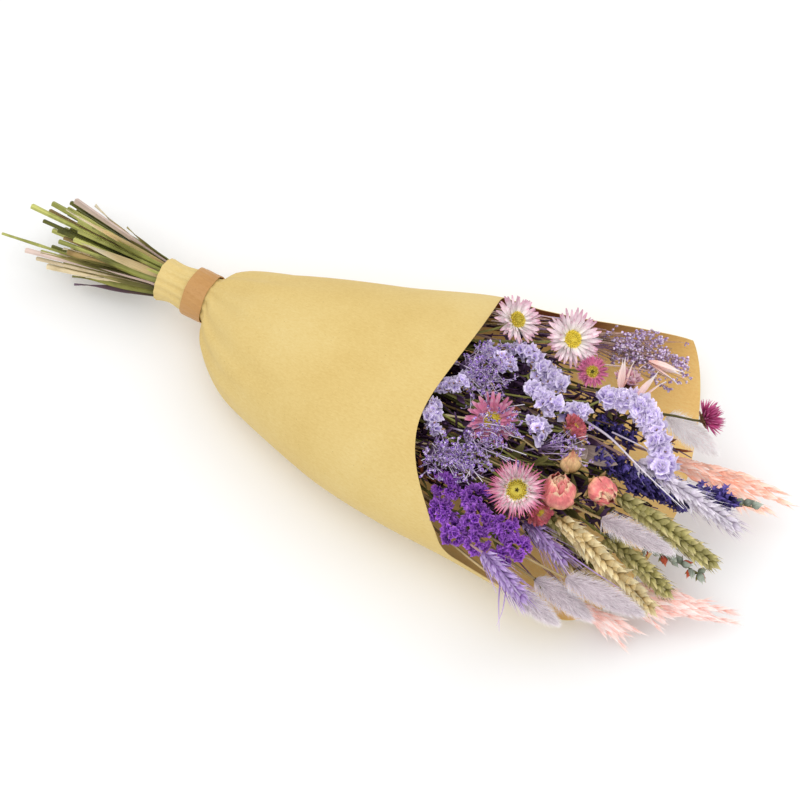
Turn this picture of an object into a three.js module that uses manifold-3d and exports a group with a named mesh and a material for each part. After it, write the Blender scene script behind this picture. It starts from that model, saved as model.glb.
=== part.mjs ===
// Dried flower bouquet in a kraft paper wrap, lying on its side. Millimetres, +Z up.
// Modelling frame: +X runs from the cut stem ends to the flowers, x = 0 is the middle of the
// tape band, z = 0 is the surface that the wrap lies on. At the end the whole group is moved
// so that its origin is the middle of its footprint.

import * as THREE from "three";
import { mergeVertices } from "three/addons/utils/BufferGeometryUtils.js";
import Module from "manifold-3d";

const wasm = await Module();
wasm.setup();

// Driving dimensions of the bundle of stems
const NECK_HEIGHT = 38;
const STEM_RADIUS = 1.25;
const STEM_PITCH = 3.1;
const STEM_SIDES = 4;
const COLLAR_START = -33;
const TOUCH_GAP = 0.35;

// The bundle along X: how far it has opened out from the neck, across and up, and its middle.
// Between these stations every stem runs straight, so that none crosses another.
const BUNDLE_STATIONS = [
  { x: -130, openY: 2.9, openZ: 1.6, y: -1.5, z: 33 },
  { x: COLLAR_START, openY: 1, openZ: 1, y: 0, z: NECK_HEIGHT },
  { x: 28, openY: 1, openZ: 1, y: 0, z: NECK_HEIGHT },
  { x: 72, openY: 2.3, openZ: 1.5, y: -5, z: 42 },
  { x: 125, openY: 4.6, openZ: 2.1, y: -6, z: 50 },
];

// Driving dimensions of the paper wrap, tape band and tie
const PAPER = 0.8;
const BAND_START = -9;
const BAND_END = 7.5;
const BAND_THICKNESS = 1;
const BAND_INNER_RADIUS = 18;
const TIE_X = 21;
const TIE_CORD_RADIUS = 0.9;
const TIE_RADIUS = 13.8;

const v3 = (x, y, z) => new THREE.Vector3(x, y, z);
const UP = v3(0, 0, 1);
const AHEAD = v3(1, 0, 0);

// Seeded random numbers, so that every build is the same
function randomFrom(text) {
  let state = 2166136261;
  for (const letter of text) {
    state = Math.imul(state ^ letter.charCodeAt(0), 16777619);
  }
  return () => {
    state = (state + 0x6d2b79f5) | 0;
    let t = Math.imul(state ^ (state >>> 15), 1 | state);
    t = (t + Math.imul(t ^ (t >>> 7), 61 | t)) ^ t;
    return ((t ^ (t >>> 14)) >>> 0) / 4294967296;
  };
}

// A smooth curve through knots [x, value] that never overshoots them
function smoothProfile(knots) {
  const slopes = knots.map((knot, i) => {
    if (i === 0 || i === knots.length - 1) return 0;
    const [x0, y0] = knots[i - 1];
    const [x1, y1] = knot;
    const [x2, y2] = knots[i + 1];
    const before = (y1 - y0) / (x1 - x0);
    const after = (y2 - y1) / (x2 - x1);
    return before * after <= 0 ? 0 : (2 * before * after) / (before + after);
  });
  return (x) => {
    if (x <= knots[0][0]) return knots[0][1];
    for (let i = 1; i < knots.length; i++) {
      const [x0, y0] = knots[i - 1];
      const [x1, y1] = knots[i];
      if (x > x1) continue;
      const h = x1 - x0;
      const t = (x - x0) / h;
      const rise = (y1 - y0) * t * t * (3 - 2 * t);
      return y0 + rise + h * (slopes[i - 1] * t * (1 - t) ** 2 - slopes[i] * t * t * (1 - t));
    }
    return knots[knots.length - 1][1];
  };
}

// Sections of the wrap along X: it is round at the neck and flattened on the table
const wrapCentreY = smoothProfile([
  [10, 0], [20, -3], [58, -10.5], [130, -11], [196, -5], [253, 2], [298, 8], [335, 12], [380, 13],
]);
const wrapHalfWidth = smoothProfile([
  [-33, 14.3], [-22, 14.6], [-10, 16.2], [8, 16.9], [11, 19.5], [15, 29], [26, 39.5], [58, 55.5],
  [130, 79], [196, 96], [253, 105], [298, 114], [335, 120], [380, 124],
]);
const wrapMiddle = smoothProfile([[12, 38], [26, 36], [50, 38], [120, 45], [200, 51], [380, 50]]);
const wrapTop = smoothProfile([
  [-33, 52.3], [-22, 52.6], [-10, 54.2], [8, 54.9], [15, 57.5], [26, 63], [50, 75], [90, 85],
  [120, 90], [180, 97], [200, 99], [380, 99],
]);
const wrapBottom = smoothProfile([
  [-33, 23.7], [-22, 23.4], [-10, 21.8], [8, 21.1], [15, 14], [26, 4], [40, -4], [60, -8],
  [120, -12], [380, -14],
]);
const pleatDepth = smoothProfile([[-33, 0.5], [8, 0.45], [14, 0.9], [30, 1.1], [60, 0.5], [110, 0]]);

// Columns of the sheet run from the top middle (0) to the bottom middle (last). They are even
// at the neck, and crowd at the rim of the back sheet near the mouth.
const COLUMN_SPOTS = [
  0, 0.08, 0.17, 0.27, 0.37, 0.45, 0.5, 0.508, 0.516, 0.525, 0.58, 0.67, 0.77, 0.885, 1,
];
const FAR_SHEET_END = [201, 203, 205, 204, 201, 202, 222, 262, 300, 334, 340, 350, 361, 371, 378];
const NEAR_SHEET_END = [201, 198, 201, 219, 240, 249, 254, 278, 302, 324, 336, 350, 363, 373, 378];
const SHARED_ROWS = [COLLAR_START, -20, -2, 8, 13, 19, 30, 50, 80, 120, 165];
const MOUTH_ROWS = 4;
const HALF_COLUMNS = COLUMN_SPOTS.length - 1;

function wrapPoint(x, column, inset) {
  const side = Math.sign(column);
  const step = Math.abs(column);
  const evenTurn = step / HALF_COLUMNS;
  const blend = THREE.MathUtils.smoothstep(x, 20, 180);
  const turn = side * Math.PI * THREE.MathUtils.lerp(evenTurn, COLUMN_SPOTS[step], blend);
  const pleat = pleatDepth(x) * (step % 2 === 0 ? 1 : -1) - inset;
  const middle = wrapMiddle(x);
  const reach = Math.cos(turn) >= 0 ? wrapTop(x) - middle : middle - wrapBottom(x);
  const y = wrapCentreY(x) + (wrapHalfWidth(x) + pleat) * Math.sin(turn);
  const z = middle + (reach + pleat) * Math.cos(turn);
  return v3(x, y, Math.max(z, inset));
}

// A closed solid from points and triangles, turned to face outward
function solidFrom(points, triangles) {
  let volume = 0;
  for (const [a, b, c] of triangles) {
    volume += points[a].dot(points[b].clone().cross(points[c]));
  }
  const facing = volume < 0 ? triangles.map(([a, b, c]) => [a, c, b]) : triangles;
  const mesh = new wasm.Mesh({
    numProp: 3,
    vertProperties: new Float32Array(points.flatMap((p) => [p.x, p.y, p.z])),
    triVerts: new Uint32Array(facing.flat()),
  });
  return new wasm.Manifold(mesh);
}

// A three.js geometry as a solid for joining
function solidOf(geometry) {
  const bare = geometry.clone();
  bare.deleteAttribute("normal");
  bare.deleteAttribute("uv");
  const merged = mergeVertices(bare, 1e-4);
  const place = merged.getAttribute("position");
  const points = [...Array(place.count).keys()].map((i) => v3().fromBufferAttribute(place, i));
  const corners = [...merged.index.array];
  const triangles = [];
  for (let i = 0; i < corners.length; i += 3) {
    const triangle = corners.slice(i, i + 3);
    if (new Set(triangle).size === 3) triangles.push(triangle);
  }
  return solidFrom(points, triangles);
}

function geometryOf(solid) {
  const mesh = solid.getMesh();
  const geometry = new THREE.BufferGeometry();
  geometry.setAttribute("position", new THREE.BufferAttribute(mesh.vertProperties, 3));
  geometry.setIndex(new THREE.BufferAttribute(mesh.triVerts, 1));
  geometry.computeVertexNormals();
  return geometry;
}

// The paper wrap: one sheet with an outer and an inner face, joined along both ends
function makeWrap() {
  const columns = [];
  for (let column = -HALF_COLUMNS + 1; column <= HALF_COLUMNS; column++) columns.push(column);
  const rowCount = SHARED_ROWS.length + MOUTH_ROWS;
  const points = [];
  for (const inset of [0, PAPER]) {
    for (const column of columns) {
      const ends = column >= 0 ? FAR_SHEET_END : NEAR_SHEET_END;
      const last = SHARED_ROWS[SHARED_ROWS.length - 1];
      for (let row = 0; row < rowCount; row++) {
        const past = (row - SHARED_ROWS.length + 1) / MOUTH_ROWS;
        const x = past <= 0 ? SHARED_ROWS[row] : THREE.MathUtils.lerp(last, ends[Math.abs(column)], past);
        points.push(wrapPoint(x, column, inset));
      }
    }
  }
  const index = (face, column, row) => {
    const wrapped = (column + columns.length) % columns.length;
    return (face * columns.length + wrapped) * rowCount + row;
  };
  const triangles = [];
  const quad = (a, b, c, d) => triangles.push([a, b, c], [a, c, d]);
  for (let i = 0; i < columns.length; i++) {
    for (let row = 0; row < rowCount - 1; row++) {
      quad(index(0, i, row), index(0, i, row + 1), index(0, i + 1, row + 1), index(0, i + 1, row));
      quad(index(1, i, row), index(1, i + 1, row), index(1, i + 1, row + 1), index(1, i, row + 1));
    }
    const end = rowCount - 1;
    quad(index(0, i, 0), index(0, i + 1, 0), index(1, i + 1, 0), index(1, i, 0));
    quad(index(0, i, end), index(1, i, end), index(1, i + 1, end), index(0, i + 1, end));
  }
  return solidFrom(points, triangles);
}

// A piece of a plant: its solid, and strands that cover it, each a line and a reach round it
function piece(solid, line, reach) {
  return { solid, strands: [{ line, reach }] };
}

// A spindle, petal or blade: a ring of corners between a root and a tip
function spindle({ root, tip, across, width, thick = width, sides = 4, middle = 0.5, lift = 0 }) {
  const along = tip.clone().sub(root).normalize();
  const hint = across ?? (Math.abs(along.z) < 0.9 ? UP : AHEAD).clone().cross(along);
  const side = hint.clone().addScaledVector(along, -hint.dot(along)).normalize();
  const normal = along.clone().cross(side);
  const centre = root.clone().lerp(tip, middle).addScaledVector(normal, lift);
  const points = [root, tip];
  for (let i = 0; i < sides; i++) {
    const turn = (2 * Math.PI * i) / sides;
    const corner = centre.clone().addScaledVector(side, (Math.cos(turn) * width) / 2);
    points.push(corner.addScaledVector(normal, (Math.sin(turn) * thick) / 2));
  }
  const triangles = [];
  for (let i = 0; i < sides; i++) {
    const here = 2 + i;
    const next = 2 + ((i + 1) % sides);
    triangles.push([0, next, here], [1, here, next]);
  }
  return piece(solidFrom(points, triangles), [root, centre, tip], width / 2);
}

// A tapered tube through points, with square or few-sided sections
function tube(path, radii, sides = STEM_SIDES) {
  const points = [];
  let side = null;
  path.forEach((point, i) => {
    const ahead = path[Math.min(i + 1, path.length - 1)];
    const behind = path[Math.max(i - 1, 0)];
    const along = ahead.clone().sub(behind).normalize();
    const hint = side ?? (Math.abs(along.z) < 0.9 ? UP : AHEAD).clone().cross(along);
    side = hint.clone().addScaledVector(along, -hint.dot(along)).normalize();
    const normal = along.clone().cross(side);
    for (let k = 0; k < sides; k++) {
      const turn = (2 * Math.PI * (k + 0.5)) / sides;
      const corner = point.clone().addScaledVector(side, Math.cos(turn) * radii[i]);
      points.push(corner.addScaledVector(normal, Math.sin(turn) * radii[i]));
    }
  });
  const triangles = [];
  for (let i = 0; i < path.length - 1; i++) {
    for (let k = 0; k < sides; k++) {
      const a = i * sides + k;
      const b = i * sides + ((k + 1) % sides);
      triangles.push([a, b, b + sides], [a, b + sides, a + sides]);
    }
  }
  const last = (path.length - 1) * sides;
  for (let k = 1; k < sides - 1; k++) {
    triangles.push([0, k + 1, k], [last, last + k, last + k + 1]);
  }
  return piece(solidFrom(points, triangles), path, Math.max(...radii));
}

// A turned body: profile [along, radius] from a start point along a direction
function turned(start, direction, profile, sides) {
  const outline = profile.map(([along, radius]) => new THREE.Vector2(radius, along));
  const geometry = new THREE.LatheGeometry(outline, sides);
  const turn = new THREE.Quaternion().setFromUnitVectors(v3(0, 1, 0), direction.clone().normalize());
  geometry.applyQuaternion(turn).translate(start.x, start.y, start.z);
  const first = profile[0][0];
  const last = profile[profile.length - 1][0];
  const line = [first, last].map((s) => start.clone().addScaledVector(direction, s));
  return piece(solidOf(geometry), line, Math.max(...profile.map(([, radius]) => radius)));
}

// A body of rings round a line, closed by a point at each end
function ringBody(start, rings, end, line, reach) {
  const sides = rings[0].length;
  const points = [start, end, ...rings.flat()];
  const at = (ring, i) => 2 + ring * sides + (i % sides);
  const triangles = [];
  for (let i = 0; i < sides; i++) {
    triangles.push([0, at(0, i + 1), at(0, i)]);
    for (let ring = 0; ring < rings.length - 1; ring++) {
      triangles.push([at(ring, i), at(ring, i + 1), at(ring + 1, i + 1)]);
      triangles.push([at(ring, i), at(ring + 1, i + 1), at(ring + 1, i)]);
    }
    triangles.push([1, at(rings.length - 1, i), at(rings.length - 1, i + 1)]);
  }
  return piece(solidFrom(points, triangles), line, reach);
}

// A body with pointed scales in ranks that alternate from level to level, such as an ear's
// spikelets. at(share) is its line; each scale stands out to a tip that reaches forward.
function tufted({ at, sides, levels, core, out, forward, random = () => 0.5 }) {
  const rings = [];
  const step = 1 / levels;
  for (let level = 0; level < levels; level++) {
    const share = level * step;
    const axis = at(share + step).sub(at(share)).normalize();
    const seat = [];
    const crown = [];
    for (let i = 0; i < sides; i++) {
      const radial = leaning(axis, Math.PI / 2, (2 * Math.PI * (i + 0.5)) / sides);
      seat.push(along(at(share), radial, core(share)));
      const between = along(at(share + step / 2), radial, core(share + step / 2));
      const tip = along(along(at(share), axis, forward), radial, out(share) * (0.85 + 0.3 * random()));
      crown.push((i + level) % 2 === 0 ? tip : between);
    }
    rings.push(seat, crown);
  }
  const reach = Math.max(...[0, 0.25, 0.5, 0.75].map(out)) * 1.1;
  const line = [0, 0.25, 0.5, 0.75, 1].map(at);
  return ringBody(at(-0.3 * step), rings, at(1), line, reach);
}

// A thin three-sided twig that swells into a small floret at each bead
function beaded(start, end, beads, from, thin, fat) {
  const path = [start];
  const radii = [thin];
  const pitch = (1 - from) / beads;
  for (let bead = 0; bead < beads; bead++) {
    const share = from + pitch * (bead + 0.45);
    for (const [shift, radius] of [[-0.32, thin * 0.8], [0.08, fat]]) {
      path.push(start.clone().lerp(end, share + shift * pitch));
      radii.push(radius);
    }
  }
  path.push(end);
  radii.push(0.3);
  return piece(tube(path, radii, 3).solid, [start, end], fat);
}

// Space already taken by other plants, as round-ended lines and their solids
const taken = [];
const wrapSolid = makeWrap();

function segmentDistance(p1, q1, p2, q2) {
  const d1 = q1.clone().sub(p1);
  const d2 = q2.clone().sub(p2);
  const r = p1.clone().sub(p2);
  const a = d1.lengthSq() + 1e-12;
  const e = d2.lengthSq() + 1e-12;
  const f = d2.dot(r);
  const c = d1.dot(r);
  const b = d1.dot(d2);
  const span = a * e - b * b;
  let s = span > 1e-9 ? THREE.MathUtils.clamp((b * f - c * e) / span, 0, 1) : 0;
  const t = THREE.MathUtils.clamp((b * s + f) / e, 0, 1);
  s = THREE.MathUtils.clamp((b * t - c) / a, 0, 1);
  return p1.clone().addScaledVector(d1, s).distanceTo(p2.clone().addScaledVector(d2, t));
}

function boxAround(strands) {
  const box = new THREE.Box3();
  for (const { line, reach } of strands) {
    box.union(new THREE.Box3().setFromPoints(line).expandByScalar(reach));
  }
  return box;
}

function lineDistance(one, two) {
  let least = Infinity;
  for (let i = 0; i < one.length - 1; i++) {
    for (let j = 0; j < two.length - 1; j++) {
      least = Math.min(least, segmentDistance(one[i], one[i + 1], two[j], two[j + 1]));
    }
  }
  return least;
}

function strandsTouch(some, others) {
  return some.some((a) =>
    others.some((b) => lineDistance(a.line, b.line) < a.reach + b.reach + TOUCH_GAP),
  );
}

// Room between a point and the inner face of the wrap, negative outside it. The wrap is open
// above from the mouth on, and ends altogether past the sheet's end.
const MOUTH_X = 192;
const SHEET_END_X = 384;

function roomInWrap(point) {
  const middle = wrapMiddle(point.x);
  const half = wrapHalfWidth(point.x) - PAPER - pleatDepth(point.x);
  const upper = point.z >= middle;
  if (point.x > SHEET_END_X || (upper && point.x > MOUTH_X)) return point.z;
  const reach = (upper ? wrapTop(point.x) - middle : middle - wrapBottom(point.x)) - PAPER;
  const share = Math.hypot((point.y - wrapCentreY(point.x)) / half, (point.z - middle) / reach);
  const radial = (1 - share) * Math.min(half, reach);
  return upper ? radial : Math.min(radial, point.z - PAPER);
}

// A wide strand's solid is measured against the paper itself, so only its line is tested here
const LINE_ROOM = 2;

function insideWrap({ strands }) {
  return strands.every(({ line, reach }) =>
    line.every((point) => roomInWrap(point) > Math.min(reach, LINE_ROOM) + TOUCH_GAP),
  );
}

function isClear({ solid, strands }, owner) {
  const box = boxAround(strands).expandByScalar(TOUCH_GAP);
  return taken.every((other) => {
    if (other.owner === owner || !box.intersectsBox(other.box)) return true;
    if (!strandsTouch(strands, other.strands)) return true;
    return Boolean(solid && other.solid) && solid.minGap(other.solid, 1) >= TOUCH_GAP;
  });
}

const clearOfSheet = (added) => added.solid.minGap(wrapSolid, 1) >= TOUCH_GAP;
const clearOfPaper = (added) => insideWrap(added) && clearOfSheet(added);

function take(owner, { solid, strands }) {
  taken.push({ solid, strands, box: boxAround(strands), owner });
}

// Fix a piece to its plant, whatever is near
function fix(plant, added) {
  plant.pieces.push(added.solid);
  take(plant.name, added);
}

// Grow a piece on its plant only where nothing else is in the way
function grow(plant, added) {
  if (!isClear(added, plant.name) || !clearOfPaper(added)) return false;
  fix(plant, added);
  return true;
}

// Grow the largest of a few sizes of a piece that is clear of everything
const GROWTH_SCALES = [1, 0.85, 0.7, 0.55, 0.42];

function growLargest(plant, make) {
  return GROWTH_SCALES.some((scale) => grow(plant, make(scale)));
}

// A direction at an angle from an axis, turned round it
function leaning(axis, lean, turn) {
  const side = (Math.abs(axis.z) < 0.9 ? UP : AHEAD).clone().cross(axis).normalize();
  const normal = axis.clone().cross(side);
  const round = side.multiplyScalar(Math.cos(turn)).addScaledVector(normal, Math.sin(turn));
  return axis.clone().multiplyScalar(Math.cos(lean)).addScaledVector(round, Math.sin(lean)).normalize();
}

const along = (start, direction, length) => start.clone().addScaledVector(direction, length);
const radians = THREE.MathUtils.degToRad;
const GOLDEN_TURN = Math.PI * (3 - Math.sqrt(5));

// Heads. Each draws on its plant from the end of the stem, plant.base, with the direction
// plant.facing there. The root of a stalk is sunk into what it grows on.
const CALYX = 7;
const ROOT_DEPTH = 1.5;
const STALK_RADIUS = 0.8;
const TUFT_LENGTH = 2.2;
const FLORET_CORE = 2.4;
const AWN_LENGTH = 24;
const PETAL_GAP = 0.14;

// An everlasting daisy: a calyx, two rings of stiff petals and a separate yellow disc. Petal i
// of each ring grows from the side between corners i and i + 1 of the calyx.
function drawDaisy(plant) {
  const { centre, facing, radius, disc, petals } = plant;
  const rim = disc + 1.1;
  const turnOf = (i) => (2 * Math.PI * i) / petals;
  const spot = (turn, out, height) =>
    along(along(centre, facing, height), leaning(facing, Math.PI / 2, turn), out);
  const corners = [[rim, -2], [rim, -0.8], [rim - 0.5, 0]].map(([out, height]) =>
    [...Array(petals).keys()].map((i) => spot(turnOf(i), out, height)),
  );
  const points = [along(centre, facing, -CALYX - 1), centre.clone(), ...corners.flat()];
  const corner = (ring, i) => 2 + ring * petals + (i % petals);
  const triangles = [];
  const strands = [{ line: [points[0], points[1]], reach: rim }];
  const layers = [
    { low: 0, twist: 0, reach: radius, rise: 0.06 },
    { low: 1, twist: 0.5, reach: radius * 0.88, rise: 0.42 },
  ];
  for (let i = 0; i < petals; i++) {
    triangles.push([0, corner(0, i + 1), corner(0, i)], [1, corner(2, i), corner(2, i + 1)]);
    for (const { low, twist, reach, rise } of layers) {
      const height = (out) => -1 + (out - rim) * rise;
      const middle = 0.62 * reach;
      const turn = turnOf(i + 0.5 + twist);
      const wide = ((0.5 - PETAL_GAP / 2) * 2 * Math.PI) / petals;
      const left = points.push(spot(turn - wide, middle, height(middle))) - 1;
      const right = points.push(spot(turn + wide, middle, height(middle))) - 1;
      const rib = points.push(spot(turn, middle * 0.95, height(middle) + 0.9)) - 1;
      const tip = points.push(spot(turn, reach, height(reach))) - 1;
      strands.push({ line: [centre, points[tip]], reach: wide * middle });
      const [a, b] = [corner(low, i), corner(low, i + 1)];
      const [c, d] = [corner(low + 1, i), corner(low + 1, i + 1)];
      triangles.push([a, b, right], [a, right, left], [left, right, tip]);
      triangles.push([c, left, rib], [c, rib, d], [d, rib, right], [rib, left, tip], [rib, tip, right]);
      triangles.push([a, left, c], [b, d, right]);
    }
  }
  fix(plant, { solid: solidFrom(points, triangles), strands });
  const dome = [[0, 0], [0, disc], [disc * 0.22, disc * 0.88], [disc * 0.42, disc * 0.4], [disc * 0.44, 0]];
  const yellow = turned(along(centre, facing, TOUCH_GAP), facing, dome, 9);
  plant.discPlant.pieces.push(yellow.solid);
  take(plant.name, yellow);
}

// A rose: a round hip, then broad petals in rings that close over a bud
function drawRose(plant) {
  const { base, facing, radius } = plant;
  const height = radius * 1.75;
  const hip = [[-2, 0], [-2, 1.4], [1, radius * 0.3], [3, 0]];
  fix(plant, turned(base, facing, hip, 6));
  const at = (share) => along(base, facing, height * share);
  const core = (share) => radius * 0.78 * Math.sin(Math.PI * (0.2 + 0.62 * share));
  const out = (share) => radius * (0.98 - 0.45 * share);
  const random = randomFrom(plant.name);
  fix(plant, tufted({ at, sides: 10, levels: 3, core, out, forward: height * 0.5, random }));
}

// The line of a long head, from its base to its tip, arched a little in its middle
function headLine(plant) {
  const { base, tip, arch = 2 } = plant;
  return (share) => base.clone().lerp(tip, share).addScaledVector(UP, arch * 4 * share * (1 - share));
}

// An ear of wheat: pointed spikelets in four ranks, with awns on the lilac ones. Each hanging awn
// gives where it leaves the ear, its direction and its length, and may fall outside the paper.
function drawEar(plant) {
  const { base, tip, width, levels, awns = 0, hanging = [] } = plant;
  const at = headLine(plant);
  const pitch = tip.distanceTo(base) / levels;
  const out = (share) => (width / 2) * (1 - 0.4 * share * share);
  const core = (share) => width * 0.27 * (1 - 0.45 * share * share);
  const random = randomFrom(plant.name);
  fix(plant, tufted({ at, sides: 4, levels, core, out, forward: pitch * 1.35, random }));
  for (let i = 0; i < awns; i++) {
    const share = 0.15 + (0.8 * i) / awns;
    const axis = at(share + 0.05).sub(at(share)).normalize();
    const turn = Math.PI / 4 + (i * Math.PI) / 2;
    const root = along(at(share), leaning(axis, Math.PI / 2, turn), core(share) * 0.7);
    const end = along(root, leaning(axis, radians(16), turn), AWN_LENGTH * (1 + random() / 3));
    grow(plant, spindle({ root, tip: end, width: 1.2, sides: 3, middle: 0.35 }));
  }
  for (const [share, way, length] of hanging) {
    const fall = v3(...way).normalize();
    const root = along(at(share), fall, core(share) * 0.7);
    const awn = spindle({ root, tip: along(root, fall, length), width: 1.4, sides: 3, middle: 0.35 });
    if (isClear(awn, plant.name) && clearOfSheet(awn)) fix(plant, awn);
  }
}

// A bunny tail: a soft ovoid with tufts of hair that lean forward all over
function drawTail(plant) {
  const { width, levels = 7 } = plant;
  const at = headLine(plant);
  const round = (share) => Math.sqrt(Math.max(0.08, Math.sin(Math.PI * (0.1 + 0.86 * share) ** 0.8)));
  const core = (share) => (width / 2 - TUFT_LENGTH) * round(share);
  const out = (share) => core(share) + TUFT_LENGTH;
  const random = randomFrom(plant.name);
  fix(plant, tufted({ at, sides: 8, levels, core, out, forward: 9, random }));
}

// Papery statice: branches set with flared florets, as far along as there is room
const SHORTER_ENDS = [1, 0.8, 0.6];

function drawStatice(plant) {
  const { base, branches, floret } = plant;
  const random = randomFrom(plant.name);
  for (const branch of branches) {
    const spots = branch.map(([x, y, z]) => v3(x, y, z));
    const root = along(base, plant.facing, -ROOT_DEPTH);
    const stalk = tube([root, spots[0]], [STALK_RADIUS, STALK_RADIUS], 3);
    if (!grow(plant, stalk)) continue;
    const curve = new THREE.CatmullRomCurve3(spots);
    const ahead = curve.getTangent(0);
    const core = () => FLORET_CORE;
    SHORTER_ENDS.some((end) => {
      const at = (share) =>
        share < 0 ? along(spots[0], ahead, -2) : curve.getPoint(end * Math.min(1, share));
      const levels = Math.max(2, Math.round((end * curve.getLength()) / 6));
      return growLargest(plant, (scale) =>
        tufted({ at, sides: 6, levels, core, out: () => FLORET_CORE + floret * scale, forward: 3, random }),
      );
    });
  }
}

// A dense statice head: lobes of florets that stand out all round
function drawDenseStatice(plant) {
  const { base, facing, lobes } = plant;
  const random = randomFrom(plant.name);
  for (const [x, y, z, size] of lobes) {
    const heart = v3(x, y, z);
    const way = heart.clone().sub(base).normalize();
    const root = along(base, facing, -ROOT_DEPTH);
    if (!grow(plant, tube([root, heart], [STALK_RADIUS, STALK_RADIUS], 3))) continue;
    const at = (share) => along(heart, way, size * (1.5 * share - 0.6));
    const core = (share) => size * 0.42 * Math.sin(Math.PI * (0.25 + 0.6 * share));
    growLargest(plant, (scale) => {
      const out = (share) => size * (0.2 + 0.8 * scale) * Math.sin(Math.PI * (0.3 + 0.5 * share));
      return tufted({ at, sides: 8, levels: 4, core, out, forward: size * 0.25, random });
    });
  }
}

// Fine sea lavender: a spreading crown of thin twigs with tiny florets near their ends
function drawSpray(plant) {
  const { base, heart, spread, twigs } = plant;
  const random = randomFrom(plant.name);
  const way = heart.clone().sub(base).normalize();
  const stalk = [along(base, plant.facing, -ROOT_DEPTH), base.clone().lerp(heart, 0.55)];
  fix(plant, tube(stalk, [STALK_RADIUS, STALK_RADIUS * 0.85], 3));
  plant.twigLines = [];
  for (let i = 0; i < twigs; i++) {
    for (let attempt = 0; attempt < 8; attempt++) {
      const far = Math.sqrt((i + 0.6) / twigs);
      const round = leaning(way, Math.PI / 2, i * GOLDEN_TURN + attempt * 0.8).multiply(spread);
      const end = along(heart, way, 10 * (random() - 0.5)).addScaledVector(round, far);
      const root = base.clone().lerp(heart, 0.12 + (0.4 * (i + 0.5)) / twigs);
      const outer = { line: [root.clone().lerp(end, 0.4), end], reach: 1.6 };
      const ownClear = plant.twigLines.every((twig) => lineDistance(twig, outer.line) > 2 * outer.reach);
      if (!ownClear || !grow(plant, beaded(root, end, 2, 0.55, 0.6, 1.6))) continue;
      plant.twigLines.push(outer.line);
      break;
    }
  }
}

// A larkspur spike: ragged dark petals round its axis
function drawSpike(plant) {
  const { levels, size, taper = 0.45 } = plant;
  const random = randomFrom(plant.name);
  const at = headLine(plant);
  const core = () => 2;
  const out = (share) => size * (1 - taper * share);
  fix(plant, tufted({ at, sides: 6, levels, core, out, forward: 3.5, random }));
}

// A feathery panicle: slender spikelets that lean forward off a thin axis
function drawPanicle(plant) {
  const { levels, width } = plant;
  const at = headLine(plant);
  const pitch = plant.tip.distanceTo(plant.base) / levels;
  const core = (share) => 1.5 * (1 - 0.5 * share);
  const out = (share) => (width / 2) * (1 - 0.4 * share);
  const random = randomFrom(plant.name);
  fix(plant, tufted({ at, sides: 4, levels, core, out, forward: pitch * 1.6, random }));
}

// Leaves, husks or buds on short stalks at listed spots: [share of the axis, lean, turn, size]
function drawSprigs(plant) {
  const { sprigs, shape } = plant;
  const at = headLine(plant);
  fix(plant, tube([along(plant.base, plant.facing, -ROOT_DEPTH), at(0.5), at(1)], [1, 0.9, 0.7], 3));
  for (const [share, lean, turn, size] of sprigs) {
    const axis = at(share + 0.02).sub(at(share - 0.02)).normalize();
    shape(plant, at(share), leaning(axis, radians(lean), radians(turn)), size);
  }
}

function leafShape(plant, root, way, size) {
  const across = way.clone().cross(UP).normalize();
  const leaf = { root, tip: along(root, way, size), across, width: size * 0.3, thick: 0.9 };
  grow(plant, spindle({ ...leaf, middle: 0.42, lift: size * 0.07 }));
}

function huskShape(plant, root, way, size) {
  const start = along(root, way, 7);
  fix(plant, tube([root, along(start, way, 1)], [0.6, 0.6], 3));
  grow(plant, spindle({ root: start, tip: along(start, way, size), width: 5, thick: 2, middle: 0.42 }));
}

function budShape(plant, root, way, size) {
  const start = along(root, way, 5);
  fix(plant, tube([root, along(start, way, 1.5)], [0.6, 0.6], 3));
  const round = [[0, 0], [size * 0.35, size * 0.42], [size * 0.8, size * 0.36], [size, 0]];
  grow(plant, turned(start, way, round, 5));
}

// Broom: a few stalks from one fork, dotted with small florets to their ends
function drawBroom(plant) {
  const { base, stalks, dots } = plant;
  for (const [x, y, z] of stalks) {
    grow(plant, beaded(along(base, plant.facing, -1), v3(x, y, z), dots, 0.3, 0.7, 2));
  }
}

// Colours of the dried material
const PINK = 0xd985a4;
const PALE_PINK = 0xe9cdd5;
const MAGENTA = 0xb04a7c;
const SALMON = 0xdb8a8a;
const DISC_YELLOW = 0xb5a13c;
const CORAL = 0xdf7f6c;
const STRAW = 0xcbb473;
const GREEN_WHEAT = 0x98a15c;
const LILAC_WHEAT = 0xa898c9;
const TAIL_GREY = 0xc6bcc6;
const TAIL_WHITE = 0xe2dde2;
const LAVENDER = 0x9c9bd0;
const VIOLET = 0x5c2f9e;
const SEA_LAVENDER = 0x8a74b8;
const BROOM_LILAC = 0xb3a0bd;
const LARKSPUR_BLUE = 0x2c2a78;
const PEACH = 0xeeb6a2;
const HUSK_PINK = 0xebc0b8;
const BUD_GREY = 0x8f9285;
const LEAF_GREEN = 0x6d7440;
const TAUPE = 0xa38d84;
const KRAFT = 0xe3c887;
const TAPE = 0xc49662;
const TWINE = 0xb08a58;

// The plants. Spots are [x, y, z]; a long head runs from base to tip.
const daisy = (name, at, face, radius, disc, petals, color) => ({
  name, draw: drawDaisy, at, face, radius, disc, petals, color,
});
const head = (draw, name, from, to, color, extra) => ({ name, draw, from, to, color, ...extra });
const TO_VIEWER = [0.21, -0.4, 0.89];

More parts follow.
